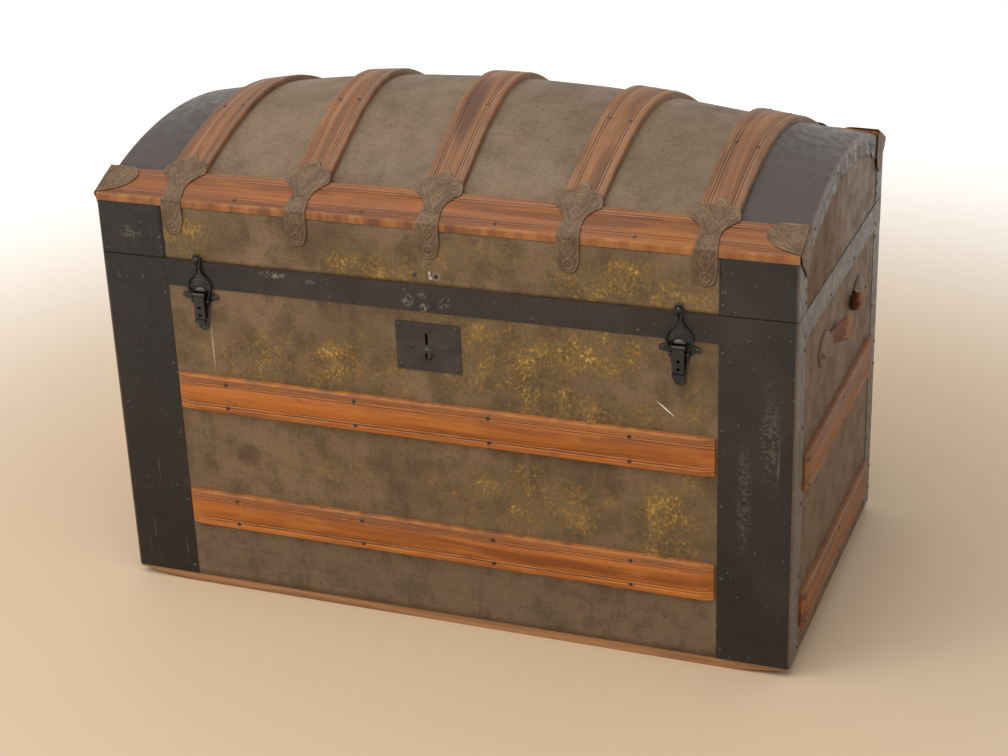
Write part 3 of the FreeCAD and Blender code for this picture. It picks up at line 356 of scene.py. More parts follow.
def buildMoulding(length, seed, bend, whittled=False):
    bm = bmesh.new()
    first = [bm.verts.new((0, u, h)) for u, h in mouldingOutline()]
    loop = [bm.edges.new(pair) for pair in zip(first, first[1:] + first[:1])]
    edges = loop
    count = round(length / moulding["step"])
    for index in range(count):
        made = bmesh.ops.extrude_edge_only(bm, edges=edges)["geom"]
        verts = [v for v in made if isinstance(v, bmesh.types.BMVert)]
        edges = [e for e in made if isinstance(e, bmesh.types.BMEdge) and all(v in verts for v in e.verts)]
        bmesh.ops.translate(bm, verts=verts, vec=(length / count, 0, 0))
    for rim in (loop, edges):
        bmesh.ops.contextual_create(bm, geom=rim)
    setUv(bm, "grain", lambda co: (co.x + seed * moulding["grainShift"], co.y))
    for vert in bm.verts:
        toEnd = min(vert.co.x, length - vert.co.x)
        if whittled and toEnd < moulding["endCut"]:
            share = blend(0, moulding["endCut"], toEnd)
            vert.co.z = min(vert.co.z, moulding["thick"] * (0.45 + 0.45 * share))
            vert.co.y *= 0.955 + 0.045 * share
        spot = Vector((vert.co.x * 30 + seed * 11, vert.co.y * 60, vert.co.z * 40))
        chip = noise.noise(spot) * moulding["chip"]
        if vert.co.z > moulding["thick"] * 0.5:
            vert.co.z += chip
            if abs(vert.co.y) > moulding["chippedFrom"]:
                vert.co.y -= math.copysign(1, vert.co.y) * chip
        vert.co = bend(*vert.co)
    return bm


slats = {
    # half length, heights of the two rows, wood, and where the grain starts
    "long": {"half": 0.3608, "levels": (0.120, 0.289), "wood": frontOak, "seed": 1, "seedStep": 3},
    "short": {"half": 0.1988, "levels": (0.073, 0.261), "wood": sideOak, "seed": 7, "seedStep": 5},
}


def buildWallSlats():
    for row, rowName in enumerate(("lower", "upper")):
        for place, side, kind in (("front", -1, "long"), ("back", 1, "long"),
                                  ("left", -1, "short"), ("right", 1, "short")):
            look = slats[kind]

            def bend(along, across, height):
                z = look["levels"][row] + across
                if kind == "long":
                    return Vector((along - look["half"], side * (skinY + height), z))
                return Vector((side * (skinX + height), along - look["half"], z))
            seed = look["seed"] + side + row * look["seedStep"]
            bm = buildMoulding(look["half"] * 2, seed, bend, whittled=True)
            addMesh(f"{place}Slat{rowName.title()}", bm, look["wood"], "case",
                    [f"slat_{place}_{rowName}"])


domeStrips = {
    "pitch": 0.17375,
    # how far each strip strays from its place at the front and at the rear
    "frontStray": (-0.0005, -0.0005, 0.0025, 0.007, 0.0),
    "rearStray": (0.027, 0.0115, 0.016, 0.042, 0.0115),
    "seed": 9.3,
}


def stripX(number, y):
    share = (y + trunk["railInner"]) / (2 * trunk["railInner"])
    front, rear = domeStrips["frontStray"][number], domeStrips["rearStray"][number]
    return domeStrips["pitch"] * (number - 2) + front + (rear - front) * share


def buildDomeStrips():
    inner = trunk["railInner"]     # the strips butt against the rails
    for number in range(5):
        def bend(along, across, height):
            y = along - inner
            return onDome(stripX(number, y) + across, y, trunk["canvas"] + height)
        bm = buildMoulding(inner * 2, domeStrips["seed"] + number, bend)
        addMesh(f"domeStrip{number + 1}", bm, domeOak, "lid", [f"dome_slat_{number + 1}"])


def buildRails():
    width = trunk["railY"] - trunk["railInner"]
    for place, side in (("front", -1), ("rear", 1)):
        def bend(along, across, height):
            share = across / moulding["width"] + 0.5      # 0 at the outer edge
            return onDome(along - sheetX, side * (trunk["railY"] - share * width), trunk["canvas"] + height)
        bm = buildMoulding(sheetX * 2, 20 + side, bend)
        addMesh(f"{place}Rail", bm, railOak, "lid", [f"rail_{place}"])


buildWallSlats()
buildDomeStrips()
buildRails()
print("strips made")


def makePine():
    material, tree, shader = newMaterial("barePine", 0.62)
    spot = objectPoint(tree)
    figure, fibre, pores = woodGrain(spot.mapped((1, 0.6, 0.6)))
    base = mix(figure, srgb(176, 132, 84), srgb(206, 168, 118))
    base = mix(spot.noise(5.0, 4).ramp(0.45, 0.75, (0, 0.5)), base, srgb(130, 92, 56))
    base = mix(pores * 0.4, base, srgb(96, 66, 40))
    setInputs(shader, {"Base Color": base, "Normal": fibre.bump(0.3, 0.0005)})
    return material


def makeSkidWood():
    material, tree, shader = newMaterial("skidWood", 0.6)
    figure, fibre, pores = woodGrain(objectPoint(tree))
    base = mix(figure, srgb(118, 78, 46), srgb(164, 116, 74))
    base = mix(pores * 0.5, base, srgb(70, 44, 28))
    setInputs(shader, {"Base Color": base, "Normal": fibre.bump(0.35, 0.0006)})
    return material


canvasLook = {
    "brown": srgb(95, 74, 50), "paleBrown": srgb(121, 96, 68), "olive": srgb(96, 78, 44),
    "grey": srgb(102, 85, 66), "paleGrey": srgb(118, 99, 78), "lowGrey": srgb(108, 90, 70),
    "endBrown": srgb(92, 70, 48), "endPale": srgb(112, 87, 63), "ochre": srgb(150, 112, 42),
    "brightOchre": srgb(198, 160, 82), "dirt": srgb(60, 46, 32), "plum": srgb(92, 64, 52),
    # where the top coat has rubbed through: x, z, half width, half height, strength
    "rubbed": (
        (-0.245, 0.345, 0.080, 0.040, 0.7), (-0.110, 0.345, 0.080, 0.050, 0.9),
        (0.085, 0.375, 0.110, 0.055, 1.0), (0.195, 0.400, 0.085, 0.045, 1.0),
        (0.170, 0.330, 0.140, 0.030, 0.9), (0.110, 0.195, 0.130, 0.050, 0.8),
        (0.300, 0.190, 0.050, 0.055, 1.0), (-0.150, 0.200, 0.060, 0.020, 0.5),
        (0.250, 0.495, 0.120, 0.032, 1.0), (-0.330, 0.500, 0.040, 0.034, 1.0),
        (-0.060, 0.485, 0.110, 0.022, 0.9), (0.060, 0.510, 0.090, 0.025, 0.6),
        (-0.100, 0.260, 0.060, 0.012, 0.7), (0.0, 0.425, 0.060, 0.012, 0.8),
        (0.335, 0.300, 0.020, 0.090, 0.5)),
    # lone marks on the front: the same five, and the colour; the two pale ones at x 0.0020 and 0.0032 are a
    # painted highlight beside the dark knob
    "marks": (
        (-0.0183, 0.4780, 0.0050, 0.0050, 0.6, (0.085, 0.024, 0.014)),
        (-0.0183, 0.4780, 0.0026, 0.0026, 0.7, (0.110, 0.074, 0.038)),
        (0.0020, 0.4855, 0.0012, 0.0030, 1.0, (0.55, 0.50, 0.42)),
        (0.0032, 0.4795, 0.0022, 0.0024, 0.9, (0.50, 0.44, 0.36)),
        (0.0109, 0.4822, 0.0046, 0.0048, 0.9, (0.30, 0.26, 0.21)),
        (0.0109, 0.4818, 0.0034, 0.0036, 1.0, (0.020, 0.016, 0.013)),
        (-0.3075, 0.3540, 0.0014, 0.0300, 0.7, (0.36, 0.31, 0.24)),
        (-0.2700, 0.2050, 0.0180, 0.0160, 0.45, (0.050, 0.028, 0.018))),
    "scratchAt": (0.2996, 0.3438), "scratchTurn": -0.680, "scratchColour": (0.66, 0.62, 0.56),
    "scratch": (0.0, 0.0, 0.0130, 0.0009, 1.0),       # along and across its slope
    "threads": 160,                                   # about one a millimetre
}


def weaveHeight(tree):
    place = addNode(tree, "UVMap", {}, uv_map="weave")
    values = {"Vector": place, "Scale": canvasLook["threads"], "Distortion": 1.5, "Detail": 1}
    warp, weft = [addNode(tree, "TexWave", values, "Fac", bands_direction=way) for way in ("X", "Y")]
    return warp * weft


def makeCanvas():
    look = canvasLook
    material, tree, shader = newMaterial("paintedCanvas", 0.62, specular=0.3)
    spot = objectPoint(tree)
    x, y, z = spot.split()
    front = y.ramp(-0.2405, -0.2420)
    ends = abs(x).ramp(0.4535, 0.4550)
    dome = z.ramp(0.546, 0.590)
    cloud = spot.noise(6.0, 5, 0.6)
    mottle = spot.noise(34.0, 5, 0.65)
    fine = spot.noise(230.0, 4, 0.7)
    upright = spot.mapped((150, 150, 9)).noise(1.0, 4, 0.7)
    level = spot.mapped((9, 9, 170), (2, 0, 5)).noise(1.0, 4, 0.7)
    base = mix(cloud.ramp(0.36, 0.64), look["brown"], look["paleBrown"])
    base = mix(z.ramp(0.20, 0.06, (0, 0.8)), base, look["lowGrey"])
    base = mix(ends, base, mix(cloud, look["endBrown"], look["endPale"]))
    base = mix(dome * (1.0 - ends), base, mix(cloud.ramp(0.35, 0.65), look["grey"], look["paleGrey"]))
    rubbed = largest([spotMask(x, z, place) for place in look["rubbed"]]) * front
    base = mix(rubbed * 0.55, base, look["olive"])
    base = mix(mottle.ramp(0.44, 0.64, (0, 0.40)) * (1.0 - dome * 0.65), base, look["dirt"])
    bloom = spot.mapped((1, 1, 1), (7, 0, 0)).noise(12.0, 4, 0.6)
    base = mix(bloom.ramp(0.56, 0.70, (0, 0.35)), base, look["plum"])
    base = mix(upright.ramp(0.54, 0.70, (0, 0.42)), base, look["paleGrey"])
    base = mix(level.ramp(0.56, 0.72, (0, 0.25)), base, look["dirt"])
    fleck = spot.mapped((1, 1, 0.75)).noise(235.0, 5, 0.78, 0.3)
    patch = spot.mapped((1, 1, 1), (4, 0, 0)).noise(30.0, 4, 0.65)
    worn = rubbed * 0.13 + patch * 0.56 + fleck * 0.82
    base = mix(worn.ramp(0.765, 0.93, (0, 0.56)) * rubbed.ramp(0.02, 0.35), base, look["ochre"])
    base = mix(worn.ramp(0.885, 1.01, (0, 0.85)) * rubbed.ramp(0.1, 0.6), base, look["brightOchre"])
    base = mix(fine.ramp(0.36, 0.50, (0.30, 0.0)), base, look["dirt"])
    base = mix(fine.ramp(0.58, 0.72, (0.0, 0.42)), base, look["paleGrey"])
    # lone marks, and a painted highlight beside the dark knob
    for *place, colour in look["marks"]:
        base = mix(spotMask(x, z, place) * front * fine.ramp(0.34, 0.44), base, colour)
    fromX, fromZ = x - look["scratchAt"][0], z - look["scratchAt"][1]
    cosine, sine = math.cos(look["scratchTurn"]), math.sin(look["scratchTurn"])
    scratch = spotMask(fromX * cosine + fromZ * sine, fromZ * cosine - fromX * sine, look["scratch"])
    base = mix(scratch * front, base, look["scratchColour"])
    height = weaveHeight(tree) * 0.25 + fine * 0.5
    setInputs(shader, {
        "Base Color": base,
        "Roughness": mottle.ramp(0.3, 0.7, (0.50, 0.72)),
        "Normal": height.bump(0.35, 0.0006, mottle.bump(0.35, 0.004))})
    return material


sheetLook = {
    "gloss": 0.5, "metallic": 0.2, "scratch": 0.3, "rust": 0.4, "bump": 0.25,
    "rusted": srgb(92, 58, 38),
}


def addFading(base, look, spot, cloud):
    # painted reflection makes the ends and the dome top paler than the front, painted shade darkens the left
    # of the front, and the front has scuffs
    x, y, z = spot.split()
    end = abs(x).ramp(0.4530, 0.4562)
    front = y.ramp(-0.2405, -0.2425)
    # painted reflection on the end faces
    base = mix(end * cloud.ramp(0.30, 0.62, (0.55, 0.95)), base, look["faded"])
    # painted shade on the left of the front
    base = mix(x.ramp(-0.22, -0.40, (0, 0.6)) * (1.0 - end), base, look["leftFront"])
    # painted reflection on the dome top
    base = mix(z.ramp(0.548, 0.575, (0, 0.55)) * (1.0 - end), base, look["domeTop"])
    broken = spot.noise(260.0, 4, 0.7).ramp(0.46, 0.58)
    for place in look["scuffs"]:
        base = mix(spotMask(x, z, place) * front * broken, base, look["bright"])
    return mix(spot.noise(330.0, 2, 0.5).ramp(0.715, 0.76, (0, 0.8)), base, look["bright"])


def makeSheet(name, **changes):
    look = {**sheetLook, **changes}
    material, tree, shader = newMaterial(name, look["rough"], look["metallic"], look["gloss"])
    spot = objectPoint(tree)
    cloud = spot.noise(look["cloud"], 5, 0.6)
    fine = spot.noise(look["fine"], 4, 0.6)
    base = mix(cloud.ramp(0.35, 0.68), look["dark"], look["light"])
    if "faded" in look:
        base = addFading(base, look, spot, cloud)
    scratch = spot.mapped((130, 130, 7), turn=(0.15, 0.25, 0)).noise(1.0, 3, 0.75)
    base = mix(scratch.ramp(0.67, 0.74, (0, look["scratch"])), base, look["bright"])
    base = mix(fine.ramp(0.55, 0.70) * cloud.ramp(0.50, 0.66) * look["rust"], base, look["rusted"])
    if "faded" in look:                # painted shade in dark lines where the sheet is folded over itself
        base = mix(keptValue(tree, "crease") * 0.75, base, look["dark"])
    if "hollow" in look:               # dirt fills the low places of the pressed pattern
        relief = keptValue(tree, "relief")
        low = relief.ramp(0.0, 0.00055, (0.62, 0.0)) * fine.ramp(0.3, 0.6, (1.0, 0.6))
        base = mix(low, base, look["hollow"])
        base = mix(relief.ramp(0.0006, 0.0011, (0.0, 0.55)), base, look["bright"])
    setInputs(shader, {
        "Base Color": base,
        "Roughness": fine.ramp(0.3, 0.7, (look["rough"] - 0.10, look["rough"] + 0.14)),
        "Normal": (cloud + fine * 0.15).bump(look["bump"], 0.0015)})
    return material


def makeLeather():
    material, tree, shader = newMaterial("dryLeather", 0.55)
    spot = objectPoint(tree)
    cloud = spot.noise(60.0, 5, 0.65)
    cell = addNode(tree, "TexVoronoi", {"Vector": spot, "Scale": 420}, "Distance", feature="DISTANCE_TO_EDGE")
    crack = cell.ramp(0.0, 0.12, (1, 0))
    base = mix(cloud.ramp(0.30, 0.70), srgb(82, 42, 24), srgb(124, 68, 40))
    base = mix(crack * 0.5, base, srgb(48, 24, 16))
    base = mix(keptValue(tree, "frayed") * 0.7, base, srgb(176, 128, 88))
    setInputs(shader, {"Base Color": base, "Normal": (cloud - crack * 0.5).bump(0.5, 0.0008)})
    return material


canvas = makeCanvas()
leather = makeLeather()
blackTin = makeSheet(
    "blackTin", metallic=0.0, rough=0.46, gloss=0.35, cloud=9.0, fine=70.0, dark=srgb(32, 26, 21),
    # the pale end and dome-top colours are painted reflection, and the dark left-front colour is painted
    # shade
    light=srgb(46, 38, 31), bright=srgb(122, 112, 98), rust=0.3, faded=srgb(100, 90, 82),
    domeTop=srgb(82, 73, 68), leftFront=srgb(14, 11, 9),
    # x, z, half width, half height, strength
    scuffs=((-0.2108, 0.4629, 0.0180, 0.0045, 0.9), (-0.4117, 0.5014, 0.0150, 0.0090, 0.35),
            (0.4268, 0.3210, 0.0120, 0.0500, 0.30), (-0.0285, 0.4482, 0.0075, 0.0085, 0.75),
            (0.0187, 0.4463, 0.0070, 0.0070, 0.5), (-0.0080, 0.4393, 0.0045, 0.0060, 1.0),
            (-0.0080, 0.4560, 0.0070, 0.0040, 0.4), (-0.1617, 0.4582, 0.0080, 0.0030, 0.4),
            (0.3960, 0.2400, 0.0090, 0.0700, 0.25)))
clampSteel = makeSheet(
    "clampSteel", metallic=0.15, rough=0.52, gloss=0.3, cloud=40.0, fine=300.0, dark=srgb(90, 68, 48),
    light=srgb(118, 94, 70), bright=srgb(134, 110, 84), scratch=0.2, hollow=srgb(74, 56, 42))
latchIron = makeSheet(
    "latchIron", rough=0.30, cloud=60.0, fine=400.0, dark=srgb(16, 13, 11), light=srgb(28, 24, 21),
    bright=srgb(110, 98, 88), rust=0.3)
latchPlate = makeSheet(
    "latchPlate", rough=0.32, cloud=60.0, fine=400.0, dark=srgb(22, 18, 15), light=srgb(38, 32, 27),
    bright=srgb(92, 82, 72), hollow=srgb(18, 15, 12))
lockSteel = makeSheet(
    "lockSteel", metallic=0.1, rough=0.44, cloud=30.0, fine=260.0, dark=srgb(32, 26, 21),
    light=srgb(50, 42, 34), bright=srgb(112, 100, 86), scratch=0.4, bump=0.5)
hingeSteel = makeSheet(
    "hingeSteel", metallic=0.5, rough=0.4, cloud=40.0, fine=300.0, dark=srgb(84, 76, 68),
    light=srgb(118, 108, 98), bright=srgb(160, 150, 138), scratch=0.5, rust=0.5)
nailIron = makeSheet(
    "nailIron", metallic=0.3, rough=0.40, cloud=200.0, fine=900.0, dark=srgb(38, 30, 25),
    light=srgb(72, 60, 50), bright=srgb(140, 126, 110), scratch=0.5)
finishes = {
    "pine": makePine(), "canvas": canvas, "dark_tin": blackTin, "oak": makeSkidWood(),
    "brown_steel": clampSteel, "latch_iron": latchIron, "lock_steel": lockSteel, "leather": leather,
    "hinge_steel": hingeSteel, "nail_iron": nailIron,
}


def dressNodes():
    slotOf = {part["node"]: part["material_slot"] for part in frame["record"]["subparts"]}
    for name, node in frame["nodes"].items():
        node.data.materials.clear()
        node.data.materials.append(finishes[slotOf[name]])


dressNodes()
print("nodes dressed")


def makeGrid(columns, rows):
    bm = bmesh.new()
    bmesh.ops.create_grid(bm, x_segments=columns, y_segments=rows, size=0.5)
    bmesh.ops.translate(bm, verts=bm.verts, vec=(0.5, 0.5, 0))
    return bm                       # both coordinates run from 0 to 1


def faceOutward(bm, middle=Vector((0, 0, 0.4))):
    bmesh.ops.recalc_face_normals(bm, faces=bm.faces)
    facing = sum(face.normal.dot(face.calc_center_median() - middle) * face.calc_area() for face in bm.faces)
    if facing < 0:
        bmesh.ops.reverse_faces(bm, faces=bm.faces)


cover = {
    "thick": 0.0008,
    "edge": 0.0042,                 # radius over which the cloth turns down the ends
    "edgeShare": 0.03,              # share of the columns that lie on it
    "wave": 0.0005,
    "ripple": 0.00015,
    "deepest": 0.0009,
    "knock": 0.0007,
    # place and reach of each
    "knocks": ((0.105, -0.02, 0.035), (0.085, 0.09, 0.03), (-0.07, 0.05, 0.04), (0.27, -0.05, 0.03)),
    "caseRound": 2.8,
    "caseHigh": trunk["seam"] - trunk["floorGap"],
    "caseColumns": (96, 50, 96, 50),
}
lockPlate = {"x": -0.004, "z": 0.3885, "wellHalfWide": 0.031, "wellHalfHigh": 0.021}


def domeDent(x, y):
    dent = noise.noise(Vector((x * 7, y * 7, 1.3))) * cover["wave"]
    dent += noise.noise(Vector((x * 26, y * 26, 4))) * cover["ripple"]
    for knockX, knockY, reach in cover["knocks"]:
        dent -= cover["knock"] * bell(math.hypot(x - knockX, (y - knockY) * 0.6) / reach)
    return max(dent, -cover["deepest"])


def lidPoint(x, distance):
    y = -skinY + (distance - lidWall)
    if distance < lidWall:
        return Vector((x, -skinY, lidFoot + distance))
    if y > skinY:
        return Vector((x, skinY, trunk["spring"] - (y - skinY)))
    past = limit((abs(x) - skinX + cover["edge"]) / cover["edge"])
    drop = cover["edge"] * (1 - math.sqrt(1 - past * past))
    return onDome(x, y, trunk["canvas"] - drop + domeDent(x, y) * (1 - past))


def lidColumn(share):
    edge = cover["edgeShare"]
    if edge < share < 1 - edge:
        return (skinX - cover["edge"]) * (2 * (share - edge) / (1 - 2 * edge) - 1)
    turn = math.pi / 2 * (min(share, 1 - share) / edge)
    return math.copysign(skinX - cover["edge"] * (1 - math.cos(turn)), share - 0.5)


def buildLidCanvas():
    bm = makeGrid(150, 140)
    length = 2 * lidWall + 2 * skinY
    setUv(bm, "weave", lambda co: (co.x * 2 * skinX, co.y * length))
    boundary = [edge for edge in bm.edges if edge.is_boundary]
    rims = [[edge for edge in boundary if all(abs(v.co.x - at) < 1e-5 for v in edge.verts)] for at in (0, 1)]
    for vert in bm.verts:
        vert.co = lidPoint(lidColumn(vert.co.x), vert.co.y * length)
    for rim in rims:                # the cloth over each end
        feet = [v for v in {v for e in rim for v in e.verts} if sum(e in rim for e in v.link_edges) == 1]
        made = bmesh.ops.contextual_create(bm, geom=rim + [bm.edges.new(feet)])["faces"]
        setUv(bm, "weave", lambda co: (co.y, co.z), made)
        bmesh.ops.triangulate(bm, faces=made)
    faceOutward(bm)
    addMesh("lidCanvas", bm, canvas, "lid", ["lid_canvas"], smooth=35, shell=cover["thick"])


def aroundCase(column):
    corners = [(-skinX, -skinY), (skinX, -skinY), (skinX, skinY), (-skinX, skinY), (-skinX, -skinY)]
    wall = 0
    while wall < 3 and column > cover["caseColumns"][wall]:
        column -= cover["caseColumns"][wall]
        wall += 1
    (x0, y0), (x1, y1) = corners[wall], corners[wall + 1]
    share = column / cover["caseColumns"][wall]
    return x0 + (x1 - x0) * share, y0 + (y1 - y0) * share


def behindLock(middle):
    beside, above = abs(middle.x - lockPlate["x"]), abs(middle.z - lockPlate["z"])
    return middle.y < 0 and beside < lockPlate["wellHalfWide"] and above < lockPlate["wellHalfHigh"]


def buildCaseCanvas():
    columns = sum(cover["caseColumns"])
    bm = makeGrid(columns, 48)
    setUv(bm, "weave", lambda co: (co.x * cover["caseRound"], co.y * cover["caseHigh"]))
    for vert in bm.verts:
        x, y = aroundCase(round(vert.co.x * columns))
        z = trunk["floorGap"] + vert.co.y * cover["caseHigh"]
        sag = noise.noise(Vector((x * 9, y * 9, z * 9))) * 0.0003
        free = blend(0.02, 0.08, skinX - abs(x)) if abs(y) > skinY - 1e-4 else 0
        away = blend(0.02, 0.08, skinY - abs(y)) if abs(x) > skinX - 1e-4 else 0
        vert.co = Vector((x + math.copysign(sag * away, x), y + math.copysign(sag * free, y), z))
    bmesh.ops.remove_doubles(bm, verts=bm.verts, dist=0.0002)
    behind = [face for face in bm.faces if behindLock(face.calc_center_median())]
    bmesh.ops.delete(bm, geom=behind, context="FACES")
    faceOutward(bm)
    addMesh("caseCanvas", bm, canvas, "case", ["case_canvas"], smooth=35, shell=cover["thick"])


endMetal = {
    "domeInner": 0.350,
    "wallInner": sheetX - 0.093,
    "hem": 0.030,                    # how far it reaches down the end, and the shorter legs beside the walls
    "leg": 0.042,
    "fold": 0.004,
    "wallFold": 0.003,
    "flatShare": 0.45,               # shares of the grid for the top, and for the top with its rounded fold
    "bendShare": 0.70,
    "pleats": 13,
    "pleatLift": 0.0022,
    "creaseEnd": 0.185,
    "scallop": 0.0070,
    "dent": 0.0012,
    "ripple": 0.0004,
}


def pleatPhase(side, y):
    turn = y * endMetal["pleats"] / 0.4 + noise.noise(Vector((y * 23, side, 0))) * 0.8
    return turn - math.floor(turn)


def endWallPoint(side, across, face, z):
    flat, bend, radius = endMetal["flatShare"], endMetal["bendShare"], endMetal["wallFold"]
    if across < flat:
        inner = endMetal["wallInner"]
        return Vector((side * (inner + (sheetX - radius - inner) * across / flat), face * sheetY, z))
    if across < bend:
        angle = math.pi / 2 * (across - flat) / (bend - flat)
        return Vector((side * (sheetX - radius + radius * math.sin(angle)),
                       face * (sheetY - radius + radius * math.cos(angle)), z))
    depth = radius + (endMetal["leg"] - radius) * (across - bend) / (1 - bend)
    return Vector((side * sheetX, face * (sheetY - depth), z))


def endDomePoint(side, across, y):
    flat, bend, radius = endMetal["flatShare"], endMetal["bendShare"], endMetal["fold"]
    lift = trunk["canvas"] + trunk["sheet"]
    if across < flat:
        inner = endMetal["domeInner"]
        x = inner + (sheetX - radius - inner) * across / flat
        ripple = noise.noise(Vector((x * 12, y * 12, side * 5))) * endMetal["ripple"]
        return onDome(side * x, y, lift + ripple * blend(0.36, 0.38, x))
    if across < bend:
        angle = math.pi / 2 * (across - flat) / (bend - flat)
        x = sheetX - radius + radius * math.sin(angle)
        return onDome(side * x, y, lift - radius + radius * math.cos(angle))
    edge = sheetY - endMetal["leg"] - abs(y)
    share = (across - bend) / (1 - bend)
    phase = pleatPhase(side, y)
    if edge > 0:
        ragged = 0.4 + 0.3 * math.cos(2 * math.pi * phase)
        ragged += noise.noise(Vector((y * 70, side * 3, 1))) * 0.9
        depth = endMetal["hem"] - endMetal["scallop"] * ragged * blend(0.005, 0.04, edge)
        point = onDome(side * sheetX, y, lift - radius - (depth - radius) * share)
    else:
        point = onDome(side * sheetX, y, lift - radius)
        if point.z > trunk["spring"]:
            point = point.lerp(Vector((side * sheetX, y, trunk["spring"])), share)
    free = blend(0.015, 0.05, edge)
    lap = endMetal["pleatLift"] * phase ** 2 * blend(0, 0.7, share) * free
    dent = noise.noise(Vector((y * 60, point.z * 60, side * 7))) * endMetal["dent"] * free
    dent *= 1 + 1.2 * blend(-0.10, 0.05, y)          # the rear half has been knocked about
    point.x = side * (sheetX + max(lap + dent * blend(0.0, 0.3, share), 0.0))
    return point


def buildEndMetal():
    length = 2 * lidWall + 2 * sheetY
    for name, side in (("left", -1), ("right", 1)):
        bm = makeGrid(34, 460)
        crease = bm.verts.layers.float.new("crease")
        for vert in bm.verts:
            across, distance = vert.co.x, vert.co.y * length
            if distance < lidWall:
                vert.co = endWallPoint(side, across, -1, lidFoot + distance)
            elif distance > length - lidWall:
                vert.co = endWallPoint(side, across, 1, lidFoot + (length - distance))
            else:
                vert.co = endDomePoint(side, across, -sheetY + (distance - lidWall))
            phase = pleatPhase(side, vert.co.y)
            # painted shade along the fold line of each pleat
            if abs(vert.co.y) < endMetal["creaseEnd"]:
                line = bell((phase - 0.99) / 0.05) + bell((phase + 0.01) / 0.05)
                vert[crease] = line * blend(0.62, 0.85, across)
        bmesh.ops.remove_doubles(bm, verts=bm.verts, dist=0.00005)
        faceOutward(bm)
        addMesh(f"{name}EndMetal", bm, blackTin, "lid", [f"lid_band_{name}"], smooth=35,
                shell=trunk["sheet"])


def widthAt(outline, distance):
    for (d0, w0), (d1, w1) in zip(outline, outline[1:]):
        if distance <= d1:
            return w0 + (w1 - w0) * limit((distance - d0) / (d1 - d0))
    return outline[-1][1]


def pressedSheet(columns, rows, outline, relief, placed):
    # a sheet cut to the half widths in outline, with the height of its pattern kept on each point
    bm = makeGrid(columns, rows)
    kept = bm.verts.layers.float.new("relief")
    low, high = outline[0][0], outline[-1][0]
    for vert in bm.verts:
        along = low + (high - low) * vert.co.y
        half = widthAt(outline, along)
        across = (vert.co.x * 2 - 1) * half
        vert[kept] = relief(across, along, min(half - abs(across), along - low, high - along))
        vert.co = placed(across, along, vert[kept])
    faceOutward(bm)
    return bm


def ringRelief(look, across, along, inset):
    # a raised rim, rings with a boss in each, and leaf veins that run up and out from the middle
    height = look["rim"] * bell((inset - look["rimInset"]) / look["line"])
    clear = 1.0
    for ringAcross, ringAlong, radius in look["rings"]:
        gap = math.hypot(across - ringAcross, along - ringAlong)
        boss = bell(gap / (radius * look["boss"]))
        height += look["ring"] * (bell((gap - radius) / look["line"]) + 0.8 * boss)
        clear = min(clear, blend(radius, radius + 0.002, gap))
    leaf = math.sin(abs(across) * look["veinAcross"] + along * look["veinAlong"])
    return min(height + look["vein"] * max(0.0, leaf) * clear * blend(0.002, 0.004, inset), look["highest"])


def addTo(whole, bm):
    mesh = bpy.data.meshes.new("part")
    bm.to_mesh(mesh)
    bm.free()
    whole.from_mesh(mesh)
    bpy.data.meshes.remove(mesh)


def newWhole(layer="relief"):
    whole = bmesh.new()
    whole.verts.layers.float.new(layer)
    return whole


clampShape = {
    "fold": trunk["railY"] + 0.001,
    "thick": 0.001,
    "corner": 0.0025,
    "leanIn": 0.0008,
    # distance from the fold, back up the dome or down the wall, and half width there
    "outline": (
        (-0.0470, 0.0008), (-0.0462, 0.0045), (-0.0445, 0.0080), (-0.0415, 0.0108), (-0.0385, 0.0122),
        (-0.0362, 0.0124), (-0.0345, 0.0132), (-0.0320, 0.0142), (-0.0250, 0.0146), (0.0, 0.0148),
        (0.008, 0.0136), (0.016, 0.0124), (0.023, 0.0130), (0.029, 0.0156), (0.034, 0.0200), (0.038, 0.0250),
        (0.0405, 0.0296), (0.044, 0.0300), (0.050, 0.0290), (0.055, 0.0268), (0.0590, 0.0232),
        (0.0612, 0.0168), (0.0622, 0.0112), (0.0640, 0.0086), (0.0670, 0.0080), (0.0695, 0.0064),
        (0.0712, 0.0040), (0.0720, 0.0008)),
    # across, distance, radius
    "rings": (
        (0.0, 0.0650, 0.0044), (-0.0180, 0.0500, 0.0058), (0.0180, 0.0500, 0.0058), (0.0, 0.0520, 0.0050),
        (0.0, 0.0330, 0.0058), (0.0, 0.0130, 0.0050), (0.0, -0.0120, 0.0052), (0.0, -0.0360, 0.0060)),
    "rim": 0.0009, "rimInset": 0.0016, "line": 0.0010, "ring": 0.0010, "boss": 0.38,
    "vein": 0.0006, "veinAcross": 820, "veinAlong": -480, "highest": 0.0013,
}


def clampPoint(x, side, distance, lift):
    look = clampShape

    def onHead(reach):
        return onDome(x, side * (look["fold"] - reach), stripTop + look["thick"] + lift)
    corner = onHead(0.0)

    def onTail(reach):
        out = look["fold"] - look["leanIn"] * blend(0.006, 0.020, -reach)
        return Vector((x, side * (out + lift), corner.z + reach))
    turn = look["corner"]
    if distance > turn:
        return onHead(distance)
    if distance < -turn:
        return onTail(distance)
    share = (distance + turn) / (2 * turn)
    return onTail(-turn) * (1 - share) ** 2 + corner * 2 * share * (1 - share) + onHead(turn) * share ** 2


def buildClamps():
    whole = newWhole()
    for number in range(5):
        for side in (-1, 1):
            x = stripX(number, side * trunk["railInner"])
            addTo(whole, pressedSheet(36, 118, clampShape["outline"], lambda *at: ringRelief(clampShape, *at),
                                      lambda across, along, lift: clampPoint(x + across, side, along, lift)))
    addMesh("stripClamps", whole, clampSteel, "lid", ["slat_clamps"], smooth=60,
            shell=clampShape["thick"])


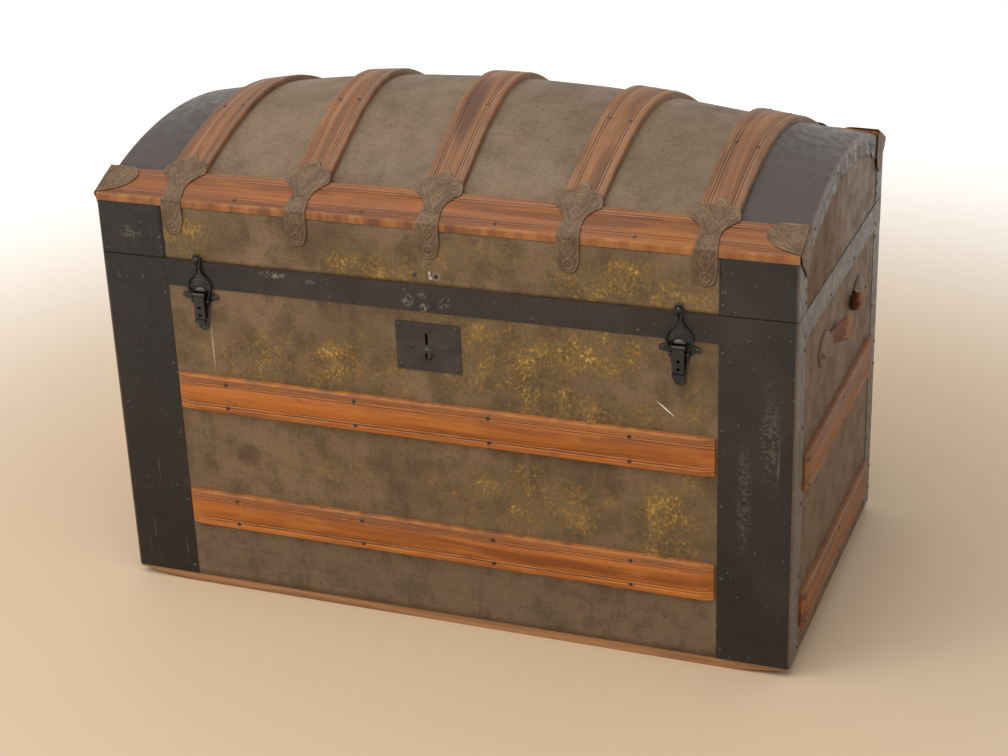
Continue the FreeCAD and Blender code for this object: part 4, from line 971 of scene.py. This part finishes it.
bracketShape = {
    "thick": 0.001,
    # distance in from the rail's end, and half width there
    "outline": ((0.0, 0.0226), (0.010, 0.0214), (0.020, 0.0200), (0.030, 0.0180), (0.037, 0.0150),
                (0.042, 0.0110), (0.0455, 0.0064), (0.0470, 0.0008)),
    # distance in from the rail's end, and how far the middle lies behind the rail's outer edge
    "middle": ((0.0, 0.0240), (0.010, 0.0250), (0.020, 0.0264), (0.030, 0.0280), (0.038, 0.0296),
               (0.047, 0.0306)),
    # rows of the tongue down the end: outer and inner edge, from the middle and below the rail's top
    "tongue": ((0.2435, 0.0, 0.1965, 0.0), (0.2430, 0.0050, 0.1930, 0.0100), (0.2385, 0.0150, 0.1900, 0.0250),
               (0.2290, 0.0270, 0.1890, 0.0390), (0.2200, 0.0400, 0.1915, 0.0490),
               (0.2140, 0.0490, 0.2000, 0.0540), (0.2090, 0.0560, 0.2065, 0.0565)),
    "tongueRing": (0.2120, 0.0270, 0.0060),
    "cornerRound": 0.0012,
    "rings": (
        (0.0065, 0.0280, 0.0052), (-0.0070, 0.0270, 0.0046), (0.0, 0.0400, 0.0030), (0.0, 0.0110, 0.0050)),
    "rim": 0.0008, "rimInset": 0.0015, "line": 0.0010, "ring": 0.0009, "boss": 0.4,
    "vein": 0.0005, "veinAcross": 900, "veinAlong": 520, "highest": 0.0011,
}


def tongueRelief(y, drop, inset):
    look = bracketShape
    ringY, ringDrop, radius = look["tongueRing"]
    gap = math.hypot(y - ringY, drop - ringDrop)
    height = look["rim"] * bell((inset - look["rimInset"]) / look["line"])
    height += look["ring"] * bell((gap - radius) / look["line"])
    leaf = max(0.0, math.sin(y * look["veinAcross"])) * blend(0.007, 0.009, gap) * blend(0.002, 0.004, inset)
    return min(height + look["vein"] * leaf, look["highest"])


def buildTongue(sideX, sideY):
    look = bracketShape
    rows = look["tongue"]
    bm = makeGrid(44, 48)
    kept = bm.verts.layers.float.new("relief")
    for vert in bm.verts:
        across, down = vert.co.x, vert.co.y
        row = min(int(down * (len(rows) - 1)), len(rows) - 2)
        share = down * (len(rows) - 1) - row
        outerY, outerDrop, innerY, innerDrop = [
            first + (second - first) * share for first, second in zip(rows[row], rows[row + 1])]
        y = outerY + (innerY - outerY) * across
        drop = outerDrop + (innerDrop - outerDrop) * across
        vert[kept] = tongueRelief(y, drop, min(across, 1 - across) * (outerY - innerY))
        out = look["thick"] * 2 + vert[kept] * 0.5 + 0.0006 * blend(0.02, 0.0, drop)
        out -= look["cornerRound"] * (1 - blend(0.0, 0.05, down))
        z = onDome(sheetX, y, stripTop + look["thick"]).z - drop
        vert.co = Vector((sideX * (sheetX + out), sideY * y, z))
    faceOutward(bm)
    return bm


def buildBrackets():
    whole = newWhole()
    look = bracketShape
    for sideX in (-1, 1):
        for sideY in (-1, 1):
            def placed(across, along, lift):
                y = sideY * (trunk["railY"] - widthAt(look["middle"], along) - across)
                return onDome(sideX * (sheetX + look["thick"] - along), y, stripTop + look["thick"] + lift)
            addTo(whole, pressedSheet(44, 56, look["outline"], lambda *at: ringRelief(look, *at), placed))
            addTo(whole, buildTongue(sideX, sideY))
    addMesh("railBrackets", whole, clampSteel, "lid", ["rail_brackets"], smooth=60,
            shell=look["thick"])


def spunKnob(outline, steps=28):
    bm = bmesh.new()
    points = [bm.verts.new((r, 0, h)) for r, h in outline]
    edges = [bm.edges.new(pair) for pair in zip(points, points[1:])]
    bmesh.ops.spin(bm, geom=points + edges, cent=(0, 0, 0), axis=(0, 0, 1), dvec=(0, 0, 0), angle=2 * math.pi,
                   steps=steps, use_merge=True, use_duplicate=False)
    bmesh.ops.remove_doubles(bm, verts=bm.verts, dist=0.00001)
    return bm


def standOff(bm, place, out):
    # what was turned about the upright axis now points outward from its place
    bmesh.ops.rotate(bm, verts=bm.verts, cent=(0, 0, 0), matrix=out.to_track_quat("Z", "Y").to_matrix())
    bmesh.ops.translate(bm, verts=bm.verts, vec=place)


nails = {
    "high": 0.0013,
    "spread": 0.0031 / 0.0026,       # how much wider a head is drawn than its plain one
    "least": 0.0018,
    "sunk": 0.0006,
    # shares of the radius and of the height
    "outline": ((0.0, 1.0), (0.38, 0.90), (0.72, 0.62), (0.94, 0.22)),
    "foot": -0.0002,
}


def looseSolids(source):
    seen = set()
    for vert in source.verts:
        if vert not in seen:
            seen.add(vert)
            queue = [vert]
            for current in queue:            # grows as its neighbours are found
                for other in (edge.other_vert(current) for edge in current.link_edges):
                    if other not in seen:
                        seen.add(other)
                        queue.append(other)
            yield [[v.co[axis] for v in queue] for axis in range(3)]


def buildNails():
    # a domed head over every nail of the frame
    for name, body in (("case_nails", "case"), ("lid_nails", "lid")):
        source = bmesh.new()
        source.from_mesh(frame["nodes"][name].data)
        bmesh.ops.remove_doubles(source, verts=source.verts, dist=0.00002)
        whole = bmesh.new()
        for spans in looseSolids(source):
            middle = Vector([(min(span) + max(span)) / 2 for span in spans])
            size = [max(span) - min(span) for span in spans]
            wide = size[0] / 2
            if abs(middle.x) > skinX - 0.0005:
                out, wide = Vector((math.copysign(1, middle.x), 0, 0)), size[1] / 2
            elif abs(middle.y) > skinY - 0.0008:
                out = Vector((0, math.copysign(1, middle.y), 0))
            else:
                out = Vector((0, -boardSlope(middle.x, middle.y), 1)).normalized()
            radius = max(wide, nails["least"]) * nails["spread"]
            outline = [(radius * r, nails["high"] * h) for r, h in nails["outline"]]
            head = spunKnob(outline + [(radius, nails["foot"])], 10)
            standOff(head, middle - out * nails["sunk"], out)
            addTo(whole, head)
        source.free()
        addMesh(name.replace("_nails", "Nails"), whole, nailIron, body, [name], smooth=60)


latch = {
    "x": 0.317,
    "pivotZ": 0.427,
    "pivotOut": 0.007,
    "pinZ": 0.418,
    "pinOut": 0.0042,
    "wire": 0.00135,
    "socket": 0.0026,
    "lugIn": 0.0076,
    "lugThick": 0.0015,
    "lugRadius": 0.0036,
    "plate": 0.0009,
    "knobZ": 0.4738,
    # across, and share of the socket's radius
    "barrel": ((0.0095, 0.85), (0.0099, 1), (0.0119, 1), (0.0123, 0.85)),
    # radius and height of the knob
    "knob": ((0.0, 0.0094), (0.0016, 0.0092), (0.0031, 0.0084), (0.0042, 0.0071), (0.0046, 0.0063),
             (0.0040, 0.0060), (0.0022, 0.0060), (0.0022, 0.0013), (0.0040, 0.0012), (0.0044, 0.0008),
             (0.0044, 0.0), (0.0, 0.0)),
    # the loop's wire from its pin over the knob: distance from the middle, and z
    "loop": ((0.0109, 0.4180), (0.0112, 0.4230), (0.0150, 0.4315), (0.0166, 0.4385), (0.0120, 0.4478),
             (0.0052, 0.4530), (0.0026, 0.4590), (0.0020, 0.4640), (0.0030, 0.4672), (0.0046, 0.4700),
             (0.0050, 0.4745), (0.0034, 0.4800), (0.0, 0.4802)),
    # height over the lever's pin and half width of the base plate there
    "outline": ((-0.0500, 0.0008), (-0.0492, 0.0038), (-0.0472, 0.0062), (-0.0440, 0.0078), (-0.0400, 0.0084),
                (-0.0340, 0.0090), (-0.0260, 0.0098), (-0.0180, 0.0112), (-0.0112, 0.0136), (-0.0086, 0.0152),
                (-0.0077, 0.0200), (-0.0062, 0.0246), (-0.0030, 0.0261), (0.0002, 0.0246), (0.0017, 0.0200),
                (0.0026, 0.0160), (0.0070, 0.0156), (0.0120, 0.0142), (0.0170, 0.0118), (0.0220, 0.0088),
                (0.0270, 0.0060), (0.0320, 0.0040), (0.0346, 0.0026), (0.0352, 0.0008)),
    "hoodFrom": 0.0040,
    "hoodRadius": 0.0086,
    "hoodHigh": 0.0034,
    "hoodRings": (0.0118, 0.0148, 0.0178),
}


def latchRelief(across, along, inset):
    height = 0.0006 * bell((inset - 0.0012) / 0.0008)
    if along > latch["hoodFrom"]:
        gap = math.hypot(across, along - 0.001)
        for ring in latch["hoodRings"]:
            height += 0.0007 * bell((gap - ring) / 0.0008) * blend(0.001, 0.003, inset)
        if gap < latch["hoodRadius"]:
            height = latch["hoodHigh"] * math.sqrt(1 - (gap / latch["hoodRadius"]) ** 2)
            height += 0.0004 * bell((gap - 0.0060) / 0.0007)
    else:
        if along < -0.006:
            height += 0.0005 * bell((abs(across) - 0.0088) / 0.0008)
        height += 0.0008 * bell((math.hypot(across, along + 0.042) - 0.0048) / 0.0008)
    for side in (-1, 1):             # a ring round the nail in each ear
        height += 0.0005 * bell((math.hypot(across - side * 0.0215, along + 0.003) - 0.0033) / 0.0007)
    return min(height, 0.0036)


def buildLug(low, high):
    # an upright ear with a round end, standing off the plate between two places across
    bm = bmesh.new()
    foot, out = -skinY - 0.0002, -skinY - latch["pivotOut"]
    z, radius = latch["pivotZ"], latch["lugRadius"]
    start = bm.verts.new((low, out, z - radius))
    made = bmesh.ops.spin(bm, geom=[start], cent=(low, out, z), axis=(-1, 0, 0), dvec=(0, 0, 0),
                          angle=math.pi, steps=10, use_merge=False, use_duplicate=False)
    last = [v for v in made["geom_last"] if isinstance(v, bmesh.types.BMVert)][0]
    feet = [bm.verts.new((low, foot, end.co.z)) for end in (start, last)]
    for pair in ((feet[0], start), (last, feet[1]), feet):
        bm.edges.new(pair)
    face = bmesh.ops.contextual_create(bm, geom=list(bm.edges))["faces"]
    grown = bmesh.ops.extrude_face_region(bm, geom=face)["geom"]
    verts = [v for v in grown if isinstance(v, bmesh.types.BMVert)]
    bmesh.ops.translate(bm, verts=verts, vec=(high - low, 0, 0))
    bmesh.ops.recalc_face_normals(bm, faces=bm.faces)
    sharp = [e for e in bm.edges if e.is_manifold and e.calc_face_angle(0) > 1.0]
    bmesh.ops.bevel(bm, geom=sharp, offset=0.0003, affect="EDGES", segments=2, profile=0.5, material=-1)
    return bm


def buildLatchBase(hand, middle):
    def placed(across, along, lift):
        out = 0.0012 + 0.0012 * blend(0.0010, 0.0076, along) + lift
        return Vector((middle + across, -skinY - out, latch["pivotZ"] + along))
    whole = newWhole()
    plate = pressedSheet(46, 150, latch["outline"], latchRelief, placed)
    bmesh.ops.solidify(plate, geom=plate.faces, thickness=latch["plate"])
    addTo(whole, plate)
    for way in (-1, 1):
        lugOut = latch["lugIn"] + latch["lugThick"]
        low, high = sorted((middle + way * latch["lugIn"], middle + way * lugOut))
        addTo(whole, buildLug(low, high))
    addMesh(f"{hand}LatchBase", whole, latchPlate, "case", [f"latch_base_{hand}"], smooth=50,
            turned=True)


def buildLatchLoop(hand, middle):
    y = -skinY - latch["pinOut"]
    data = bpy.data.curves.new(f"{hand}LatchLoop", "CURVE")
    data.dimensions = "3D"
    data.bevel_depth = latch["wire"]
    data.bevel_resolution = 4
    data.resolution_u = 6
    data.use_fill_caps = True
    places = list(latch["loop"]) + [(-x, z) for x, z in reversed(latch["loop"][:-1])]
    wire = data.splines.new("NURBS")
    wire.points.add(len(places) - 1)
    for point, (x, z) in zip(wire.points, places):
        point.co = (middle + x, y, z, 1)
    wire.order_u = 3
    wire.use_endpoint_u = True
    for way in (-1, 1):
        barrel = data.splines.new("POLY")
        barrel.points.add(3)
        for point, (x, size) in zip(barrel.points, latch["barrel"]):
            point.co = (middle + way * x, y, latch["pinZ"], 1)
            point.radius = size * latch["socket"] / latch["wire"]
    piece = bpy.data.objects.new(f"{hand}LatchLoop", data)
    data.materials.append(latchIron)
    bpy.context.scene.collection.objects.link(piece)
    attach(piece, f"latch_loop_{hand}")
    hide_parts(f"latch_loop_{hand}")


def buildKeepers():
    whole = bmesh.new()
    for side in (-1, 1):
        bm = spunKnob(latch["knob"])
        standOff(bm, (side * latch["x"], -skinY, latch["knobZ"]), Vector((0, -1, 0)))
        addTo(whole, bm)
    addMesh("latchKeepers", whole, latchIron, "lid", ["latch_keepers"], smooth=50)


cap = {
    "y": 0.098, "z": 0.382, "long": 0.032, "high": 0.022, "out": 0.007, "thick": 0.0008,
    "mouth": 0.0136, "mouthOut": 0.0056,       # where the strap goes in
    "flutes": 20, "relief": 0.0006,
}


def capPoint(angle, share):
    # place and pattern of a point of the pressed cap, with its mouth towards negative y
    y, z = math.cos(angle) * cap["long"] * share, math.sin(angle) * cap["high"] * share
    height = cap["out"] * (1 - share ** 3.2) ** 0.6
    flute = 0.5 + 0.5 * math.cos(cap["flutes"] * angle)
    flute *= blend(0.40, 0.52, share) * blend(0.90, 0.80, share)
    rings = bell((share - 0.36) / 0.05) + bell((share - 0.90) / 0.03)
    pattern = cap["relief"] * (flute + rings)
    if y < 0 and abs(z) < cap["mouth"]:
        height = max(height, cap["mouthOut"] * blend(cap["mouth"], cap["mouth"] * 0.85, abs(z)))
    out = max(height * 0.90 + pattern * 0.8, 0.0)
    return y, z, min(out, cap["out"]) + 0.0001, pattern * 1.4


def buildCaps():
    whole = newWhole()
    for sideX in (-1, 1):
        for sideY in (-1, 1):
            bm = makeGrid(96, 26)
            kept = bm.verts.layers.float.new("relief")
            for vert in bm.verts:
                y, z, out, vert[kept] = capPoint(vert.co.x * 2 * math.pi, vert.co.y)
                vert.co = Vector((sideX * (skinX + out), sideY * (cap["y"] + y), cap["z"] + z))
            bmesh.ops.remove_doubles(bm, verts=bm.verts, dist=0.00003)
            faceOutward(bm)
            addTo(whole, bm)
    addMesh("handleCaps", whole, clampSteel, "case", ["handle_caps"], smooth=60,
            shell=cap["thick"])


strap = {
    "halfWide": 0.0128, "thick": 0.0046, "tornThick": 0.0034, "off": 0.0026,
    "halfLong": 0.094, "bow": 0.0262, "flatHalf": 0.065,
    "flapLong": 0.075, "flapFlat": 0.034, "flapOut": 0.0145,
    "stubLong": 0.052, "stubFlat": 0.030, "stubOut": 0.0125,
}


def strapGrid(rows, columns, halfWide, thick, line, ragged=0.0):
    # a strap with rounded edges along a line in the plane of x and y, torn at its end
    bm = makeGrid(columns, rows)
    frayed = bm.verts.layers.float.new("frayed")
    for vert in bm.verts:
        turn = vert.co.x * 2 * math.pi
        share = vert.co.y
        ahead = line(min(1.0, share + 0.01)) - line(max(0.0, share - 0.01))
        out = Vector((ahead.y, -ahead.x, 0)).normalized()
        wide, raised = math.cos(turn), math.sin(turn)
        across = math.copysign(abs(wide) ** 0.35, wide) * halfWide(share)
        over = math.copysign(abs(raised) ** 0.5, raised) * thick / 2
        worn = noise.noise(Vector((across * 160, share * 9, over * 200))) * 0.0005
        vert.co = line(share) + out * (over + worn) + Vector((0, 0, across))
        if ragged:
            torn = noise.noise(Vector((across * 260, 3.1, over * 120))) * ragged * blend(0.72, 1.0, share)
            vert.co += ahead.normalized() * torn
            vert[frayed] = blend(0.86, 1.0, share)
    bmesh.ops.remove_doubles(bm, verts=bm.verts, dist=0.00003)
    bmesh.ops.holes_fill(bm, edges=[e for e in bm.edges if e.is_boundary], sides=0)
    bmesh.ops.recalc_face_normals(bm, faces=bm.faces)
    return bm


def bow(share):
    y = (share * 2 - 1) * strap["halfLong"]
    past = limit(abs(y) / strap["flatHalf"])
    return Vector((-skinX - strap["off"] - strap["bow"] * (1 - past ** 4.5), y, cap["z"]))


def flap(share):
    run = share * strap["flapLong"]
    lean = limit((run - strap["flapFlat"]) / (strap["flapLong"] - strap["flapFlat"]))
    x = skinX + strap["off"] + strap["flapOut"] * lean ** 1.25
    return Vector((x, -0.092 + run * (1 - 0.18 * lean), cap["z"] + 0.004 * lean))


def stub(share):
    run = share * strap["stubLong"]
    lean = limit((run - strap["stubFlat"]) / (strap["stubLong"] - strap["stubFlat"]))
    x = skinX + strap["off"] + strap["stubOut"] * lean ** 1.4
    return Vector((x, 0.090 - run * (1 - 0.22 * lean), cap["z"] + 0.010 * lean))


def buildLeather():
    whole = strapGrid(110, 36, lambda share: strap["halfWide"], strap["thick"], bow)
    addMesh("leatherHandle", whole, leather, "case", ["leather_handle"], smooth=50)
    torn = newWhole("frayed")
    thick = strap["tornThick"]
    addTo(torn, strapGrid(64, 44, lambda share: 0.0100 + 0.0060 * blend(0.40, 0.90, share),
                          thick, flap, 0.014))
    addTo(torn, strapGrid(50, 40, lambda share: 0.0095 + 0.0030 * blend(0.45, 1.0, share),
                          thick, stub, 0.006))
    addMesh("tornHandle", torn, leather, "case", ["torn_handle"], smooth=50)


buildLidCanvas()
buildCaseCanvas()
buildEndMetal()
buildClamps()
buildBrackets()
buildNails()
print("covers, end metal, clamps, brackets and nails made")
for hand, side in (("left", -1), ("right", 1)):
    buildLatchBase(hand, side * latch["x"])
    buildLatchLoop(hand, side * latch["x"])
buildKeepers()
buildCaps()
buildLeather()
print("latches and handles made")


room = {
    "nearFloor": srgb(204, 180, 150), "farFloor": (0.93, 0.91, 0.88), "glow": (1, 0.985, 0.96),
    "glowPower": 0.32, "halfSize": 7, "warm": (1.0, 0.965, 0.92),
}


def seenByEye(tree):
    # 1 where the camera sees the surface, also in a mirror or through glass
    camera, glossy, through = [addNode(tree, "LightPath", {}, f"Is {kind} Ray")
                               for kind in ("Camera", "Glossy", "Transmission")]
    return camera.most(glossy.most(through))


def buildFloor():
    material, tree, shader = newMaterial("paleFloor", 0.7)
    far = addNode(tree, "VectorMath", {0: objectPoint(tree)}, "Value", operation="LENGTH").ramp(0.7, 2.3)
    setInputs(shader, {
        "Base Color": mix(far, room["nearFloor"], room["farFloor"]),
        "Emission Color": room["glow"],
        "Emission Strength": seenByEye(tree) * far * room["glowPower"]})
    bm = bmesh.new()
    bmesh.ops.create_grid(bm, x_segments=2, y_segments=2, size=room["halfSize"])
    mesh = bpy.data.meshes.new("floor")
    bm.to_mesh(mesh)
    bm.free()
    floor = bpy.data.objects.new("floor", mesh)
    mesh.materials.append(material)
    bpy.context.scene.collection.objects.link(floor)


def addLamp(name, place, aim, size, power):
    lamp = bpy.data.lights.new(name, "AREA")
    lamp.size = size
    lamp.energy = power
    lamp.color = room["warm"]
    holder = bpy.data.objects.new(name, lamp)
    holder.location = place
    holder.rotation_euler = (Vector(aim) - Vector(place)).to_track_quat("-Z", "Y").to_euler()
    bpy.context.scene.collection.objects.link(holder)


def buildLight():
    world = bpy.data.worlds.new("room")
    world.use_nodes = True
    tree = world.node_tree
    strength = seenByEye(tree).ramp(0, 1, (0.70, 0.95), False)
    setInputs(tree.nodes["Background"], {"Color": (1, 1, 1), "Strength": strength})
    bpy.context.scene.world = world
    addLamp("ceiling", (-0.4, -1.2, 3.0), (0, 0, 0.3), 2.5, 52)
    addLamp("window", (-2.6, -2.4, 1.9), (0, 0, 0.35), 1.8, 32)


view = {
    "place": (0.9157, -2.3074, 1.3156), "turn": (1.163985, 0.034130, 0.363989),
    "lens": 70.80, "sensor": 36,
}


def placeCamera():
    camera = bpy.data.cameras.new("camera")
    camera.lens = view["lens"]
    camera.sensor_width = view["sensor"]
    holder = bpy.data.objects.new("camera", camera)
    holder.location = view["place"]
    holder.rotation_euler = Euler(view["turn"], "XYZ")
    bpy.context.scene.collection.objects.link(holder)
    bpy.context.scene.camera = holder


buildFloor()
buildLight()
placeCamera()
bpy.context.scene.view_settings.view_transform = "Standard"
